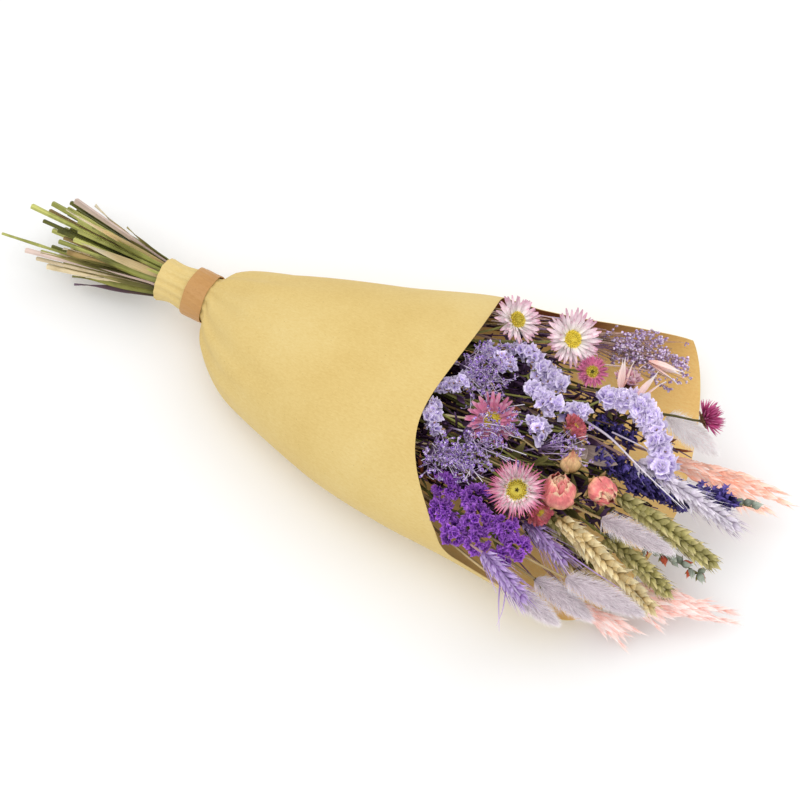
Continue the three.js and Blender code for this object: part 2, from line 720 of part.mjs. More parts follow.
const daisies = [
  daisy("daisy_pale_mouth", [225, 60, 97], [0.5, 0.1, 0.86], 18, 5.5, 12, PALE_PINK),
  daisy("daisy_pale_large", [266, 64, 97], [0.45, -0.15, 0.85], 21, 6, 13, PALE_PINK),
  daisy("daisy_small", [288, 50, 92], TO_VIEWER, 12, 4.2, 11, PINK),
  daisy("daisy_among_sprays", [243, -15, 93], [0.2, -0.45, 0.8], 18, 6, 12, PINK),
  daisy("daisy_front", [282, -55, 92], TO_VIEWER, 21, 8, 14, PINK),
  daisy("daisy_salmon", [295, 7, 87], [0.5, 0.34, 0.6], 11, 4, 9, SALMON),
  daisy("daisy_upright", [311, 62, 80], [-0.1, 0.5, 0.8], 11, 4, 9, PINK),
  daisy("daisy_magenta", [371, 70, 68], [0.6, 0.6, 0.35], 13, 4.5, 10, MAGENTA),
  daisy("daisy_behind", [299, -54, 73], [0.72, -0.3, 0.4], 12, 4.5, 9, SALMON),
];

const roses = [
  { name: "rose_large", draw: drawRose, from: [304, -32, 78], face: [0.45, -0.35, 0.75], radius: 12.5 },
  { name: "rose_medium", draw: drawRose, from: [326, -17, 74], face: [0.6, -0.45, 0.55], radius: 10.5 },
  { name: "rose_bud", draw: drawRose, from: [303, -9, 75], face: [0.3, -0.1, 0.9], radius: 7.5 },
].map((rose) => ({ color: CORAL, ...rose }));

const ear = (name, from, to, color, extra = {}) =>
  head(drawEar, name, from, to, color, { width: 14.5, levels: 11, ...extra });
const ears = [
  ear("wheat_straw_long", [312, -49, 66], [397, -75, 50], STRAW, { awns: 2 }),
  ear("wheat_green_short", [303, -45, 50], [345, -58, 44], GREEN_WHEAT, { levels: 6 }),
  ear("wheat_green_middle", [345, -38, 46], [400, -53, 38], GREEN_WHEAT, { levels: 7, width: 12 }),
  ear("wheat_straw_short", [318, -66, 43], [365, -71, 36], STRAW, { levels: 6 }),
  ear("wheat_green_long", [340, -12, 58], [420, -23, 48], GREEN_WHEAT),
  ear("lilac_wheat_near", [280, -100, 76], [320, -118, 75], LILAC_WHEAT, {
    levels: 7, width: 12, awns: 4, hanging: [[0.45, [0.3, -0.6, -0.74], 44], [0.62, [0.1, -0.62, -0.78], 38]],
  }),
  ear("lilac_wheat_middle", [292, -60, 61], [331, -75, 60], LILAC_WHEAT, { levels: 7, width: 11, awns: 4 }),
  ear("lilac_wheat_long", [340, 13, 68], [424, 3, 61], LILAC_WHEAT, { levels: 11, awns: 2 }),
];

const tails = [
  head(drawTail, "bunny_tail_mauve", [337, -37, 68], [392, -37, 66], TAIL_GREY, { width: 18 }),
  head(drawTail, "bunny_tail_near", [334, -86, 64], [393, -83, 57], TAIL_GREY, { width: 19 }),
  head(drawTail, "bunny_tail_low", [315, -91, 51], [362, -97, 43], TAIL_GREY, { width: 18 }),
  head(drawTail, "bunny_tail_outer", [304, -108, 57], [345, -115, 55], TAIL_WHITE, { width: 15, levels: 6 }),
  head(drawTail, "bunny_tail_far", [342, 62, 54], [388, 53, 50], TAIL_WHITE, { width: 18 }),
];

const paleStatice = (name, from, branches) => ({
  name, draw: drawStatice, from, branches, floret: 7, color: LAVENDER,
});
const paleStatices = [
  paleStatice("statice_mouth", [186, -10, 78], [
    [[198, -6, 81], [205, 0, 85], [214, 6, 86]],
    [[200, -18, 80], [203, -28, 84], [210, -36, 84]],
  ]),
  paleStatice("statice_far", [206, 40, 76], [
    [[214, 36, 84], [224, 32, 87], [236, 30, 87]],
    [[226, 46, 80], [238, 48, 83], [248, 44, 84]],
  ]),
  paleStatice("statice_middle", [246, 34, 74], [
    [[252, 40, 83], [263, 38, 88], [273, 32, 86]],
    [[256, 24, 82], [267, 18, 87], [276, 16, 86]],
  ]),
  paleStatice("statice_centre", [260, 4, 72], [
    [[267, 2, 82], [274, -4, 86], [281, -10, 86]],
    [[284, 20, 80], [291, 24, 85], [298, 24, 85]],
  ]),
  paleStatice("statice_branch", [294, 34, 72], [
    [[302, 40, 80], [314, 45, 84], [328, 46, 84], [341, 39, 82], [350, 29, 80], [357, 19, 77]],
  ]),
];

const violetStatice = (name, from, lobes) => ({
  name, draw: drawDenseStatice, from, lobes, color: VIOLET,
});
const violetStatices = [
  violetStatice("violet_statice_mouth", [222, -70, 56], [
    [236, -66, 70, 12],
    [240, -84, 68, 11],
    [255, -93, 66, 11],
  ]),
  violetStatice("violet_statice_middle", [248, -74, 56], [
    [257, -66, 76, 11],
    [266, -80, 74, 12],
    [272, -92, 66, 10],
  ]),
  violetStatice("violet_statice_front", [274, -76, 54], [
    [285, -76, 72, 11],
    [298, -84, 70, 11],
    [290, -92, 62, 9],
  ]),
];

const spray = (name, from, heart, spread, extra = {}) => ({
  name, draw: drawSpray, from, heart: v3(...heart), spread: v3(...spread), color: SEA_LAVENDER,
  twigs: 10, ...extra,
});
const sprays = [
  spray("sea_lavender_mouth", [190, 18, 74], [226, 18, 88], [16, 26, 8]),
  spray("sea_lavender_middle", [215, -26, 72], [254, -28, 92], [16, 26, 10]),
  spray("sea_lavender_near", [204, -47, 70], [234, -52, 86], [14, 20, 8]),
  spray("sea_lavender_tip", [268, -18, 70], [306, -4, 92], [14, 18, 8], { twigs: 8 }),
];

const others = [
  {
    name: "broom", draw: drawBroom, from: [255, 86, 56], color: BROOM_LILAC, dots: 9,
    stalks: [[320, 112, 58], [343, 104, 58], [332, 92, 56]],
  },
  head(drawSpike, "larkspur_far", [300, 31, 60], [332, 30, 64], LARKSPUR_BLUE, { levels: 5, size: 8 }),
  head(drawSpike, "larkspur_near", [318, 0, 62], [346, -2, 64], LARKSPUR_BLUE, { levels: 5, size: 8 }),
  head(drawSpike, "larkspur_long", [340, 4, 52], [430, 25, 58], LARKSPUR_BLUE, { levels: 11, size: 9, taper: 0.6 }),
  head(drawPanicle, "pink_panicle_far", [362, 41, 40], [441, 50, 36], PEACH, { levels: 8, width: 15 }),
  head(drawPanicle, "pink_panicle_near", [385, -60, 30], [449, -45, 24], PEACH, { levels: 7, width: 14 }),
  head(drawPanicle, "pink_panicle_low", [358, -84, 26], [400, -92, 18], PEACH, { levels: 5, width: 12 }),
  head(drawSprigs, "pink_oat", [290, 62, 84], [326, 74, 84], HUSK_PINK, {
    shape: huskShape, sprigs: [[0.45, 60, 100, 20], [0.8, 40, -60, 24], [1, 15, 0, 24]],
  }),
  head(drawSprigs, "bud_stem", [372, -34, 48], [412, -32, 44], BUD_GREY, {
    shape: budShape, sprigs: [[0.2, 50, 60, 7], [0.45, 50, 220, 8], [0.7, 45, 20, 8], [1, 12, 90, 8]],
  }),
  head(drawSprigs, "leafy_stem", [262, -34, 70], [296, -16, 72], LEAF_GREEN, {
    shape: leafShape,
    sprigs: [[0.1, 45, 20, 22], [0.3, 45, 200, 20], [0.5, 40, 110, 24], [0.7, 45, 320, 20], [1, 5, 0, 22]],
  }),
  head(drawSprigs, "taupe_leaf", [292, 4, 66], [302, 4, 69], TAUPE, {
    shape: leafShape, sprigs: [[0.5, 35, 200, 18], [1, 8, 90, 30]],
  }),
];

const plants = [...daisies, ...roses, ...tails, ...ears, ...others, ...paleStatices, ...violetStatices, ...sprays];

// Each plant's stem end and the direction that it points there
for (const plant of plants) {
  plant.pieces = [];
  if (plant.draw === drawDaisy) {
    plant.centre = v3(...plant.at);
    plant.facing = v3(...plant.face).normalize();
    plant.base = along(plant.centre, plant.facing, -CALYX);
    plant.discPlant = { name: `${plant.name}_disc`, color: DISC_YELLOW, pieces: [] };
    continue;
  }
  plant.base = v3(...plant.from);
  plant.tip = plant.to ? v3(...plant.to) : null;
  const aim = plant.tip ? plant.tip.clone().sub(plant.base) : v3(1, 0, 0.15);
  plant.facing = (plant.face ? v3(...plant.face) : aim).normalize();
}

// Cells of the neck: a honeycomb, one stem in each, nearest cells to the middle first
function neckCells(count) {
  const cells = [];
  for (let row = -6; row <= 6; row++) {
    for (let place = -6; place <= 6; place++) {
      const y = STEM_PITCH * (place + (row % 2 === 0 ? 0 : 0.5));
      cells.push({ y, z: STEM_PITCH * row * Math.sin(Math.PI / 3) });
    }
  }
  cells.sort((one, two) => Math.hypot(one.y, one.z) - Math.hypot(two.y, two.z));
  return cells.slice(0, count);
}

// Each plant takes the cell that lies the way its head does, by swaps that shorten the ways
function assignCells() {
  const cells = neckCells(plants.length);
  const rim = Math.max(...cells.map((cell) => Math.hypot(cell.y, cell.z)));
  const wish = plants.map((plant) => ({
    y: (plant.base.y / 100) * rim,
    z: ((plant.base.z - 62) / 30) * rim,
  }));
  const cost = (i, cell) => (wish[i].y - cell.y) ** 2 + (wish[i].z - cell.z) ** 2;
  plants.forEach((plant, i) => {
    plant.cell = cells[i];
  });
  for (let swapped = true; swapped; ) {
    swapped = false;
    for (let i = 0; i < plants.length; i++) {
      for (let j = i + 1; j < plants.length; j++) {
        const [a, b] = [plants[i].cell, plants[j].cell];
        if (cost(i, b) + cost(j, a) < cost(i, a) + cost(j, b) - 1e-9) {
          plants[i].cell = b;
          plants[j].cell = a;
          swapped = true;
        }
      }
    }
  }
}

// Cut ends that stand out, by the place of their cell: [y, z, x of the cut, radius there]
const LONG_CUTS = [
  [-5.5, -3, -166, 1],
  [-11, 2, -128, 1.5],
  [1.5, 8, -150, 2.1],
  [4, 6, -138, 1.9],
  [8, 3, -122, 1.3],
];
const INNER_CUT = -28;
const CURVE_STEPS = 4;
const DAISY_SETTLES = [26, 18, 34, 12];
const LONG_SETTLES = [45, 30, 60, 18];

function assignCuts() {
  const random = randomFrom("cut ends");
  for (const plant of plants) {
    const hidden = random() < 0.25;
    plant.cutX = hidden ? INNER_CUT : -104 - 34 * random();
    plant.cutRadius = 1.4 + 0.9 * random();
  }
  for (const [y, z, x, radius] of LONG_CUTS) {
    const far = (plant) => Math.hypot(plant.cell.y - y, plant.cell.z - z);
    const nearest = plants.reduce((best, plant) => (far(plant) < far(best) ? plant : best));
    nearest.cutX = x;
    nearest.cutRadius = radius;
  }
}

function bundlePoint(plant, x) {
  const stations = BUNDLE_STATIONS;
  const after = stations.findIndex((station, i) => i > 0 && x <= station.x);
  const [low, high] = [stations[after - 1], stations[after]];
  const share = (x - low.x) / (high.x - low.x);
  const mix = (key) => THREE.MathUtils.lerp(low[key], high[key], share);
  return v3(x, mix("y") + plant.cell.y * mix("openY"), mix("z") + plant.cell.z * mix("openZ"));
}

// The stem from its cut end through the neck and the stations where the bundle opens out
function bundlePath(plant) {
  const stations = BUNDLE_STATIONS.map(({ x }) => x).filter((x) => x > plant.cutX + 5);
  return [plant.cutX, ...stations.filter((x) => x >= COLLAR_START)].map((x) => bundlePoint(plant, x));
}

// Then a smooth curve to the head. Its middle is moved aside until it is clear of everything
// that is there already.
function curveTo(plant, bundle, shift, settle) {
  const [before, start] = bundle.slice(-2);
  const end = along(plant.base, plant.facing, 0.8);
  const length = end.distanceTo(start);
  const onward = start.clone().sub(before).normalize();
  const leave = along(start, onward, length * 0.33).addScaledVector(shift, 0.5);
  const arrive = along(plant.base, plant.facing, -settle).add(shift);
  const curve = new THREE.CubicBezierCurve3(start, leave, arrive, end);
  return curve.getPoints(CURVE_STEPS).slice(1);
}

function* shifts() {
  yield v3(0, 0, 0);
  for (const size of [3, 6, 9, 13, 18, 24, 32, 42]) {
    for (let k = 0; k < 12; k++) {
      const turn = (2 * Math.PI * k) / 12;
      yield v3(0, size * Math.cos(turn), size * Math.sin(turn));
    }
  }
}

function routeStem(plant) {
  const bundle = bundlePath(plant);
  const start = bundle[bundle.length - 1];
  for (const shift of shifts()) {
    for (const settle of plant.draw === drawDaisy ? DAISY_SETTLES : LONG_SETTLES) {
      const curve = curveTo(plant, bundle, shift, settle);
      const added = { strands: [{ line: [start, ...curve], reach: STEM_RADIUS }] };
      if (insideWrap(added) && isClear(added, plant.name)) return [...bundle, ...curve];
    }
  }
  throw new Error(`no clear way for the stem of ${plant.name}`);
}

assignCells();
assignCuts();

// The straight bundle is claimed first, then the solid heads, the stems and the fine growth
for (const plant of plants) {
  take(plant.name, { strands: [{ line: bundlePath(plant), reach: STEM_RADIUS }] });
}
const FINE_GROWTH = [drawStatice, drawDenseStatice, drawSpray, drawBroom];
const isFine = (plant) => FINE_GROWTH.includes(plant.draw);
plants.filter((plant) => !isFine(plant)).forEach((plant) => plant.draw(plant));
for (const plant of plants) {
  const path = routeStem(plant);
  const radii = path.map((point) => (point.x < COLLAR_START - 1 ? plant.cutRadius : STEM_RADIUS));
  fix(plant, tube(path, radii));
}
plants.filter(isFine).forEach((plant) => plant.draw(plant));

// The scene graph
const bouquet = new THREE.Group();

function addMesh(name, geometry, color, roughness = 0.9) {
  const mesh = new THREE.Mesh(geometry, new THREE.MeshStandardMaterial({ color, roughness, metalness: 0 }));
  mesh.name = name;
  bouquet.add(mesh);
  return mesh;
}

// Fuse the pieces of one plant; a scrap that nothing holds is dropped
function fuse(plant) {
  const whole = wasm.Manifold.union(plant.pieces);
  const bodies = whole.decompose();
  return bodies.reduce((best, body) => (body.volume() > best.volume() ? body : best));
}

addMesh("paper_wrap", geometryOf(wrapSolid), KRAFT, 0.85);

const bandOutline = [
  [BAND_INNER_RADIUS, BAND_START],
  [BAND_INNER_RADIUS + BAND_THICKNESS, BAND_START],
  [BAND_INNER_RADIUS + BAND_THICKNESS, BAND_END],
  [BAND_INNER_RADIUS, BAND_END],
  [BAND_INNER_RADIUS, BAND_START],
].map(([radius, x]) => new THREE.Vector2(radius, x));
const band = addMesh("tape_band", new THREE.LatheGeometry(bandOutline, 22), TAPE, 0.8);
band.rotation.z = -Math.PI / 2;
band.position.z = NECK_HEIGHT;

const tie = addMesh("stem_tie", new THREE.TorusGeometry(TIE_RADIUS, TIE_CORD_RADIUS, 4, 16), TWINE);
tie.rotation.y = Math.PI / 2;
tie.position.set(TIE_X, 0, NECK_HEIGHT);

for (const plant of plants) {
  addMesh(plant.name, geometryOf(fuse(plant)), plant.color);
  if (plant.discPlant) addMesh(plant.discPlant.name, geometryOf(fuse(plant.discPlant)), DISC_YELLOW);
}

// The origin is the middle of the footprint, on the surface that the bouquet lies on
bouquet.updateMatrixWorld(true);
const box = new THREE.Box3().setFromObject(bouquet, true);
bouquet.position.set(-(box.min.x + box.max.x) / 2, -(box.min.y + box.max.y) / 2, -box.min.z);

export default bouquet;
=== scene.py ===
# %% [markdown]
# # A dried flower bouquet in a kraft paper wrap
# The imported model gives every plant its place: where its stem runs and where its head sits.
# This lesson dresses each of them with the fine shapes that a solid can't hold: petals, husks,
# papery cups, hair and twigs. All lengths here are millimetres. X is measured along the bouquet
# from its neck, where the tape goes round it, and grows towards the flowers. Z is the height
# above the table.

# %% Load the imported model
import math
import zlib
import bpy
import numpy as np
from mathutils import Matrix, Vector


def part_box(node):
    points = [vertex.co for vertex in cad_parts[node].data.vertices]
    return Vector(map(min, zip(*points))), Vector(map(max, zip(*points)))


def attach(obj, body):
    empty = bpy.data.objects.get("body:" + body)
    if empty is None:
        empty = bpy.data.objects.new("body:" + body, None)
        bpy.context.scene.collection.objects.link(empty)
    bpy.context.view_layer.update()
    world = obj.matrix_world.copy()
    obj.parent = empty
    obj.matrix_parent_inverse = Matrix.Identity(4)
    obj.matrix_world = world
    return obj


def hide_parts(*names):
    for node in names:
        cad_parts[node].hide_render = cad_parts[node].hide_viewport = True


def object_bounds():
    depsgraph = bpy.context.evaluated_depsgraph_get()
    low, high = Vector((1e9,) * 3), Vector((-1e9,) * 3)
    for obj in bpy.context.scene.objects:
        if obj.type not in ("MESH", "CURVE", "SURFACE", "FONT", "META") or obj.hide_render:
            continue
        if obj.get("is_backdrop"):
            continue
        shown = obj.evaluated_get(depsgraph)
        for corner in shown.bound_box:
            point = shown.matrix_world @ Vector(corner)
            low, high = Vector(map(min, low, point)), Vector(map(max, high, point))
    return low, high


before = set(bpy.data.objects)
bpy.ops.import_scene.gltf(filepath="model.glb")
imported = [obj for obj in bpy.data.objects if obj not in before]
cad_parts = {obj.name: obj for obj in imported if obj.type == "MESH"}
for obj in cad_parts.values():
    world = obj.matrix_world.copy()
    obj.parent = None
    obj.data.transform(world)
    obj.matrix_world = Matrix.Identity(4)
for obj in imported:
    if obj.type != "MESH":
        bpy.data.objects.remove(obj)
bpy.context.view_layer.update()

# %% [markdown]
# ## Finding the neck
# The tape band is a turned ring whose middle is 0.75 mm behind the modelling origin and 38 mm
# above the table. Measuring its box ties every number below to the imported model.

# %% Millimetres from the neck become metres in the frame
MM = 0.001
BAND_MIDDLE = np.array([-0.75, 0.0, 38.0])
band_low, band_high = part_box("tape_band")
NECK = (np.array(band_low) + np.array(band_high)) / 2 - BAND_MIDDLE * MM


def in_metres(points):
    """Layout millimetres as metres in the frame."""
    return np.asarray(points, float) * MM + NECK


def in_millimetres(points):
    """Metres in the frame as layout millimetres."""
    return (np.asarray(points, float) - NECK) / MM


def seeded(name):
    """Random draws that are the same in every run, for one named piece."""
    return np.random.default_rng(zlib.crc32(name.encode()))


# %% [markdown]
# ## The camera comes first
# The photograph looks down at the bouquet from about 63 degrees above the table, with the
# stems far to the left. A long lens keeps the perspective as flat as it is there.

# %% Camera
VIEW_AZIMUTH = math.radians(28)
VIEW_ELEVATION = math.radians(63)
VIEW_DISTANCE = 1500
VIEW_TARGET = (168.9, -9.6, 42.2)
LENS = 94.5


def new_object(name, data):
    """An object in the scene that shows a mesh, a camera or a light."""
    thing = bpy.data.objects.new(name, data)
    bpy.context.scene.collection.objects.link(thing)
    return thing


def look_along(thing, direction):
    """Turns a camera or a light so that it looks along a direction."""
    thing.rotation_mode = "QUATERNION"
    thing.rotation_quaternion = direction.to_track_quat("-Z", "Y")


camera_data = bpy.data.cameras.new("camera")
camera_data.lens = LENS
camera = new_object("camera", camera_data)
bpy.context.scene.camera = camera
VIEW_BACK = Vector((
    math.sin(VIEW_AZIMUTH) * math.cos(VIEW_ELEVATION),
    -math.cos(VIEW_AZIMUTH) * math.cos(VIEW_ELEVATION),
    math.sin(VIEW_ELEVATION),
))
camera.location = Vector(in_metres(VIEW_TARGET)) + VIEW_BACK * VIEW_DISTANCE * MM
look_along(camera, -VIEW_BACK)

# %% [markdown]
# ## Directions
# Petals stand round an axis, so most of the work is turning a few angles into directions. These
# helpers take whole arrays, because a bouquet has thousands of small parts.

# %% Helpers for directions and curves
UP = np.array([0.0, 0.0, 1.0])
AHEAD = np.array([1.0, 0.0, 0.0])
QUARTER_TURN = math.pi / 2
GOLDEN_TURN = math.pi * (3 - math.sqrt(5))
HEAD_ARCH = 2.0
HEAD_POINTS = 33


def unit(vectors):
    """The same directions, each with a length of one."""
    vectors = np.asarray(vectors, float)
    return vectors / np.maximum(np.linalg.norm(vectors, axis=-1, keepdims=True), 1e-9)


def triples(first, second, third):
    """One row of three numbers for each entry, such as x, y and z."""
    return np.stack(np.broadcast_arrays(first, second, third), axis=1)


def turns_round(count, shift=0.0):
    """Even angles round a circle, moved on by a share of their spacing."""
    return 2 * math.pi * (np.arange(count) + shift) / count


def sides_of(axes):
    """Two directions square to each axis."""
    axes = np.atleast_2d(axes)
    hint = np.where(np.abs(axes[:, 2:3]) < 0.9, UP, AHEAD)
    side = unit(np.cross(hint, axes))
    return side, np.cross(axes, side)


def leaning(axes, lean, turn):
    """Directions that lean from an axis by one angle, turned round it by another."""
    axes = np.atleast_2d(axes)
    lean, turn = np.broadcast_arrays(np.atleast_1d(lean), np.atleast_1d(turn))
    side, normal = sides_of(axes)
    out = side * np.cos(turn)[:, None] + normal * np.sin(turn)[:, None]
    return unit(axes * np.cos(lean)[:, None] + out * np.sin(lean)[:, None])


def along_line(points, shares):
    """Points at shares of a polyline's length."""
    points = np.asarray(points, float)
    steps = np.linalg.norm(np.diff(points, axis=0), axis=1)
    lengths = np.concatenate([[0], np.cumsum(steps)]) / steps.sum()
    return triples(*(np.interp(shares, lengths, values) for values in points.T))


def line_length(points):
    """How long a polyline is."""
    return np.linalg.norm(np.diff(np.asarray(points, float), axis=0), axis=1).sum()


def smooth_line(points, count, rounds):
    """The same line with more points and soft bends."""
    line = along_line(points, np.linspace(0, 1, count))
    for _ in range(rounds):
        line[1:-1] = 0.25 * line[:-2] + 0.5 * line[1:-1] + 0.25 * line[2:]
    return line


def head_line(base, tip):
    """The axis of a long head, arched a little in its middle."""
    shares = np.linspace(0, 1, HEAD_POINTS)
    line = np.outer(1 - shares, base) + np.outer(shares, tip)
    return line + np.outer(4 * HEAD_ARCH * shares * (1 - shares), UP)


def directions(line):
    """Which way a line runs at each of its points."""
    return unit(np.gradient(np.asarray(line, float), axis=0))


# %% [markdown]
# ## One way to make every shape
# A petal, a husk, a hair and a paper cup are all lofts: rings of points that follow each other,
# closed at both ends. A petal's ring is very flat, and a cup's rings run up its outside and down
# its inside. Each point also remembers where it lies: across, along and how light it is. The
# materials read those three numbers for veins and for colours that change from root to tip.

# %% Lofted shapes
BLADE_COLUMNS = np.array([-1.0, -0.55, 0.0, 0.55, 1.0])
BLADE_TEETH = np.array([-1.2, 0.8, -0.7, 0.8, -1.2, 0.8, -0.7, 0.8])
CRUMPLES = [(2, 0.4), (3, 0.45), (5, 0.5), (8, 0.3)]
CUP_WALL = 0.05


def loft(rings, across, along, looped=False):
    """A closed shape from rings of points; a looped one runs back into its first ring."""
    rings = np.asarray(rings, float)
    count, sides = rings.shape[:2]
    here = np.arange(sides)
    after = (here + 1) % sides
    faces = []
    for ring in range(count if looped else count - 1):
        low, high = ring * sides, (ring + 1) % count * sides
        faces.append(np.stack([low + here, low + after, high + after, high + here], axis=1))
    ends = [] if looped else [here[::-1][None, :], ((count - 1) * sides + here)[None, :]]
    across = np.broadcast_to(across, (count, sides)).ravel()
    along = np.broadcast_to(np.reshape(along, (count, 1)), (count, sides)).ravel()
    return {"points": rings.reshape(-1, 3), "faces": [np.concatenate(faces)] + ends,
            "across": across, "along": along}


def blade(outline, rows, bend, thick, cup=0.0, teeth=0.0, wave=0.0):
    """A thin petal or leaf of unit length and half width, bent and cupped."""
    shares = np.linspace(0, 1, rows + 1)
    widths = np.interp(shares, np.linspace(0, 1, len(outline)), outline)
    turns = bend * shares
    step = 1 / rows
    rise = np.concatenate([[0], np.cumsum(np.sin(turns[1:] - bend * step / 2))]) * step
    run = np.concatenate([[0], np.cumsum(np.cos(turns[1:] - bend * step / 2))]) * step
    around = np.concatenate([BLADE_COLUMNS[::-1], BLADE_COLUMNS[1:-1]])
    is_back = np.arange(len(around)) >= len(BLADE_COLUMNS)
    rings = []
    for row, share in enumerate(shares):
        lift = cup * around ** 2 * widths[row] + wave * np.sin(9 * share + 2.5 * around) * share
        depth = rise[row] + lift - np.where(is_back, thick * (1 - around ** 2), 0)
        reach = run[row] + teeth * BLADE_TEETH * (share == 1)
        rings.append(triples(around * widths[row], depth, reach))
    return loft(rings, around, shares)


def husk(profile, sides, keel=0.0, bend=0.0):
    """A plump grain or bud of unit length and half width; a keel can run along its front."""
    shares = np.linspace(0, 1, len(profile))
    turns = turns_round(sides)
    rings = []
    for share, radius in zip(shares, profile):
        swell = 1 + keel * np.maximum(0, np.sin(turns)) ** 3
        y = radius * np.sin(turns) * swell + bend * (share - share ** 2)
        rings.append(triples(radius * np.cos(turns), y, share))
    return loft(rings, np.cos(turns), shares)


def cup(seed, ruffle, wave, sides=14, rows=4):
    """A crumpled papery cup that opens from its root; unit height and half width."""
    rng = seeded(f"cup {seed}")
    turns = turns_round(sides)
    rim = sum(size * np.cos(lobes * turns + rng.uniform(0, 6)) for lobes, size in CRUMPLES)
    lip = sum(size * np.cos(lobes * turns + rng.uniform(0, 6)) for lobes, size in CRUMPLES)
    heights = np.linspace(0, 1, rows) ** 0.75
    radii = 0.13 + 0.87 * np.linspace(0, 1, rows) ** 1.3
    rings = []
    for inside in (False, True):
        for k in range(rows)[:: -1 if inside else 1]:
            grow = heights[k]
            radius = np.maximum(radii[k] * (1 + ruffle * grow * rim) - CUP_WALL * inside, 0.03)
            height = grow * (1 + wave * lip * grow ** 2) + CUP_WALL * inside * (1 - grow)
            rings.append(triples(radius * np.cos(turns), radius * np.sin(turns), height))
    shares = np.concatenate([heights, heights[::-1]])
    return loft(rings, rim, shares)


def tube(line, radii, sides, ribs=0.0):
    """A round stem along a line, in millimetres."""
    line = np.asarray(line, float)
    radii = np.broadcast_to(radii, len(line))
    ways = directions(line)
    side = sides_of(ways[0])[0][0]
    turns = turns_round(sides)
    swell = 1 + ribs * np.cos(sides / 2 * turns)
    rings = []
    for point, way, radius in zip(line, ways, radii):
        side = unit(side - way * side.dot(way))
        normal = np.cross(way, side)
        ring = np.outer(np.cos(turns) * swell, side) + np.outer(np.sin(turns) * swell, normal)
        rings.append(point + ring * radius)
    return loft(rings, np.cos(turns), np.linspace(0, 1, len(line)))


# %% [markdown]
# ## Gathering shapes into one piece
# Real flowers are many parts that hold together, and Blender is quickest when one object holds
# them all. A sheaf stamps a shape at many places at once, then turns everything into one mesh
# with the three point values and one finish per face. Finishes go by name until the end.

# %% The sheaf
class Sheaf:
    """Many small shapes that become one piece of the bouquet."""

    def __init__(self):
        self.points = []
        self.faces = []
        self.traits = []
        self.count = 0

    def add(self, shape, finish, tone=0.5):
        """Adds a shape whose points are already in place."""
        points = shape["points"]
        traits = triples(shape["across"], shape["along"], tone)
        self.points.append(points)
        self.traits.append(traits)
        finishes = [finish] * len(shape["faces"]) if isinstance(finish, str) else finish
        for faces, face_finish in zip(shape["faces"], finishes):
            self.faces.append((faces + self.count, face_finish))
        self.count += len(points)

    def stamp(self, shape, finish, roots, ways, fronts, scales, tones=0.5):
        """Copies a unit shape to roots, pointing along ways with its front towards fronts."""
        roots = np.atleast_2d(roots)
        count = len(roots)
        if count == 0:
            return
        ways = unit(np.broadcast_to(ways, (count, 3)))
        fronts = np.broadcast_to(fronts, (count, 3))
        fronts = unit(fronts - ways * np.sum(fronts * ways, axis=1, keepdims=True) + 1e-6)
        across = np.cross(fronts, ways)
        scales = np.broadcast_to(scales, (count, 3))
        unit_points = shape["points"]
        placed = (
            roots[:, None, :]
            + across[:, None, :] * (unit_points[:, 0] * scales[:, 0:1])[:, :, None]
            + fronts[:, None, :] * (unit_points[:, 1] * scales[:, 1:2])[:, :, None]
            + ways[:, None, :] * (unit_points[:, 2] * scales[:, 2:3])[:, :, None]
        )
        size = len(unit_points)
        tones = np.broadcast_to(tones, (count,))
        traits = np.empty((count, size, 3))
        traits[:, :, 0] = shape["across"]
        traits[:, :, 1] = shape["along"]
        traits[:, :, 2] = tones[:, None]
        self.points.append(placed.reshape(-1, 3))
        self.traits.append(traits.reshape(-1, 3))
        starts = self.count + size * np.arange(count)
        for faces in shape["faces"]:
            moved = faces[None, :, :] + starts[:, None, None]
            self.faces.append((moved.reshape(-1, faces.shape[1]), finish))
        self.count += count * size

    def twig(self, points, count, radii, sides, finish, tone, rounds=1):
        """Adds a softly bent twig through a few points and gives back its line."""
        line = smooth_line(points, count, rounds)
        self.add(tube(line, radii, sides), finish, tone)
        return line

    def build(self, name, slot, *nodes, crease=50):
        """Makes the mesh, gives it its finishes and lets it stand for its solids."""
        mesh = bpy.data.meshes.new(name)
        points = in_metres(np.concatenate(self.points))
        loops = np.concatenate([faces.ravel() for faces, _ in self.faces])
        sizes = np.concatenate([np.full(len(faces), faces.shape[1]) for faces, _ in self.faces])
        finishes = list(dict.fromkeys(finish for _, finish in self.faces))
        numbers = [np.full(len(faces), finishes.index(finish)) for faces, finish in self.faces]
        starts = np.concatenate([[0], np.cumsum(sizes)[:-1]])
        mesh.vertices.add(len(points))
        mesh.vertices.foreach_set("co", points.astype(np.float32).ravel())
        mesh.loops.add(len(loops))
        mesh.loops.foreach_set("vertex_index", loops.astype(np.int32))
        mesh.polygons.add(len(sizes))
        mesh.polygons.foreach_set("loop_start", starts.astype(np.int32))
        mesh.polygons.foreach_set("material_index", np.concatenate(numbers).astype(np.int32))
        mesh.update(calc_edges=True)
        mesh.validate()
        trait = mesh.attributes.new("trait", "FLOAT_VECTOR", "POINT")
        trait.data.foreach_set("vector", np.concatenate(self.traits).astype(np.float32).ravel())
        mesh.shade_smooth()
        mesh.set_sharp_from_angle(angle=math.radians(crease))
        for finish in finishes:
            mesh.materials.append(FINISHES[finish])
        piece = new_object(name, mesh)
        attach(piece, "root")
        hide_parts(*nodes)
        print(f"{name}: {int(np.sum(sizes - 2))} triangles")


# %% [markdown]
# ## Node trees in a few words
# A material is a small program of nodes. Written out in full, each node takes four or five lines,
# so these helpers make a node, set or link its inputs and give back what the next node needs.

# %% Helpers for node trees
FINISHES = {}


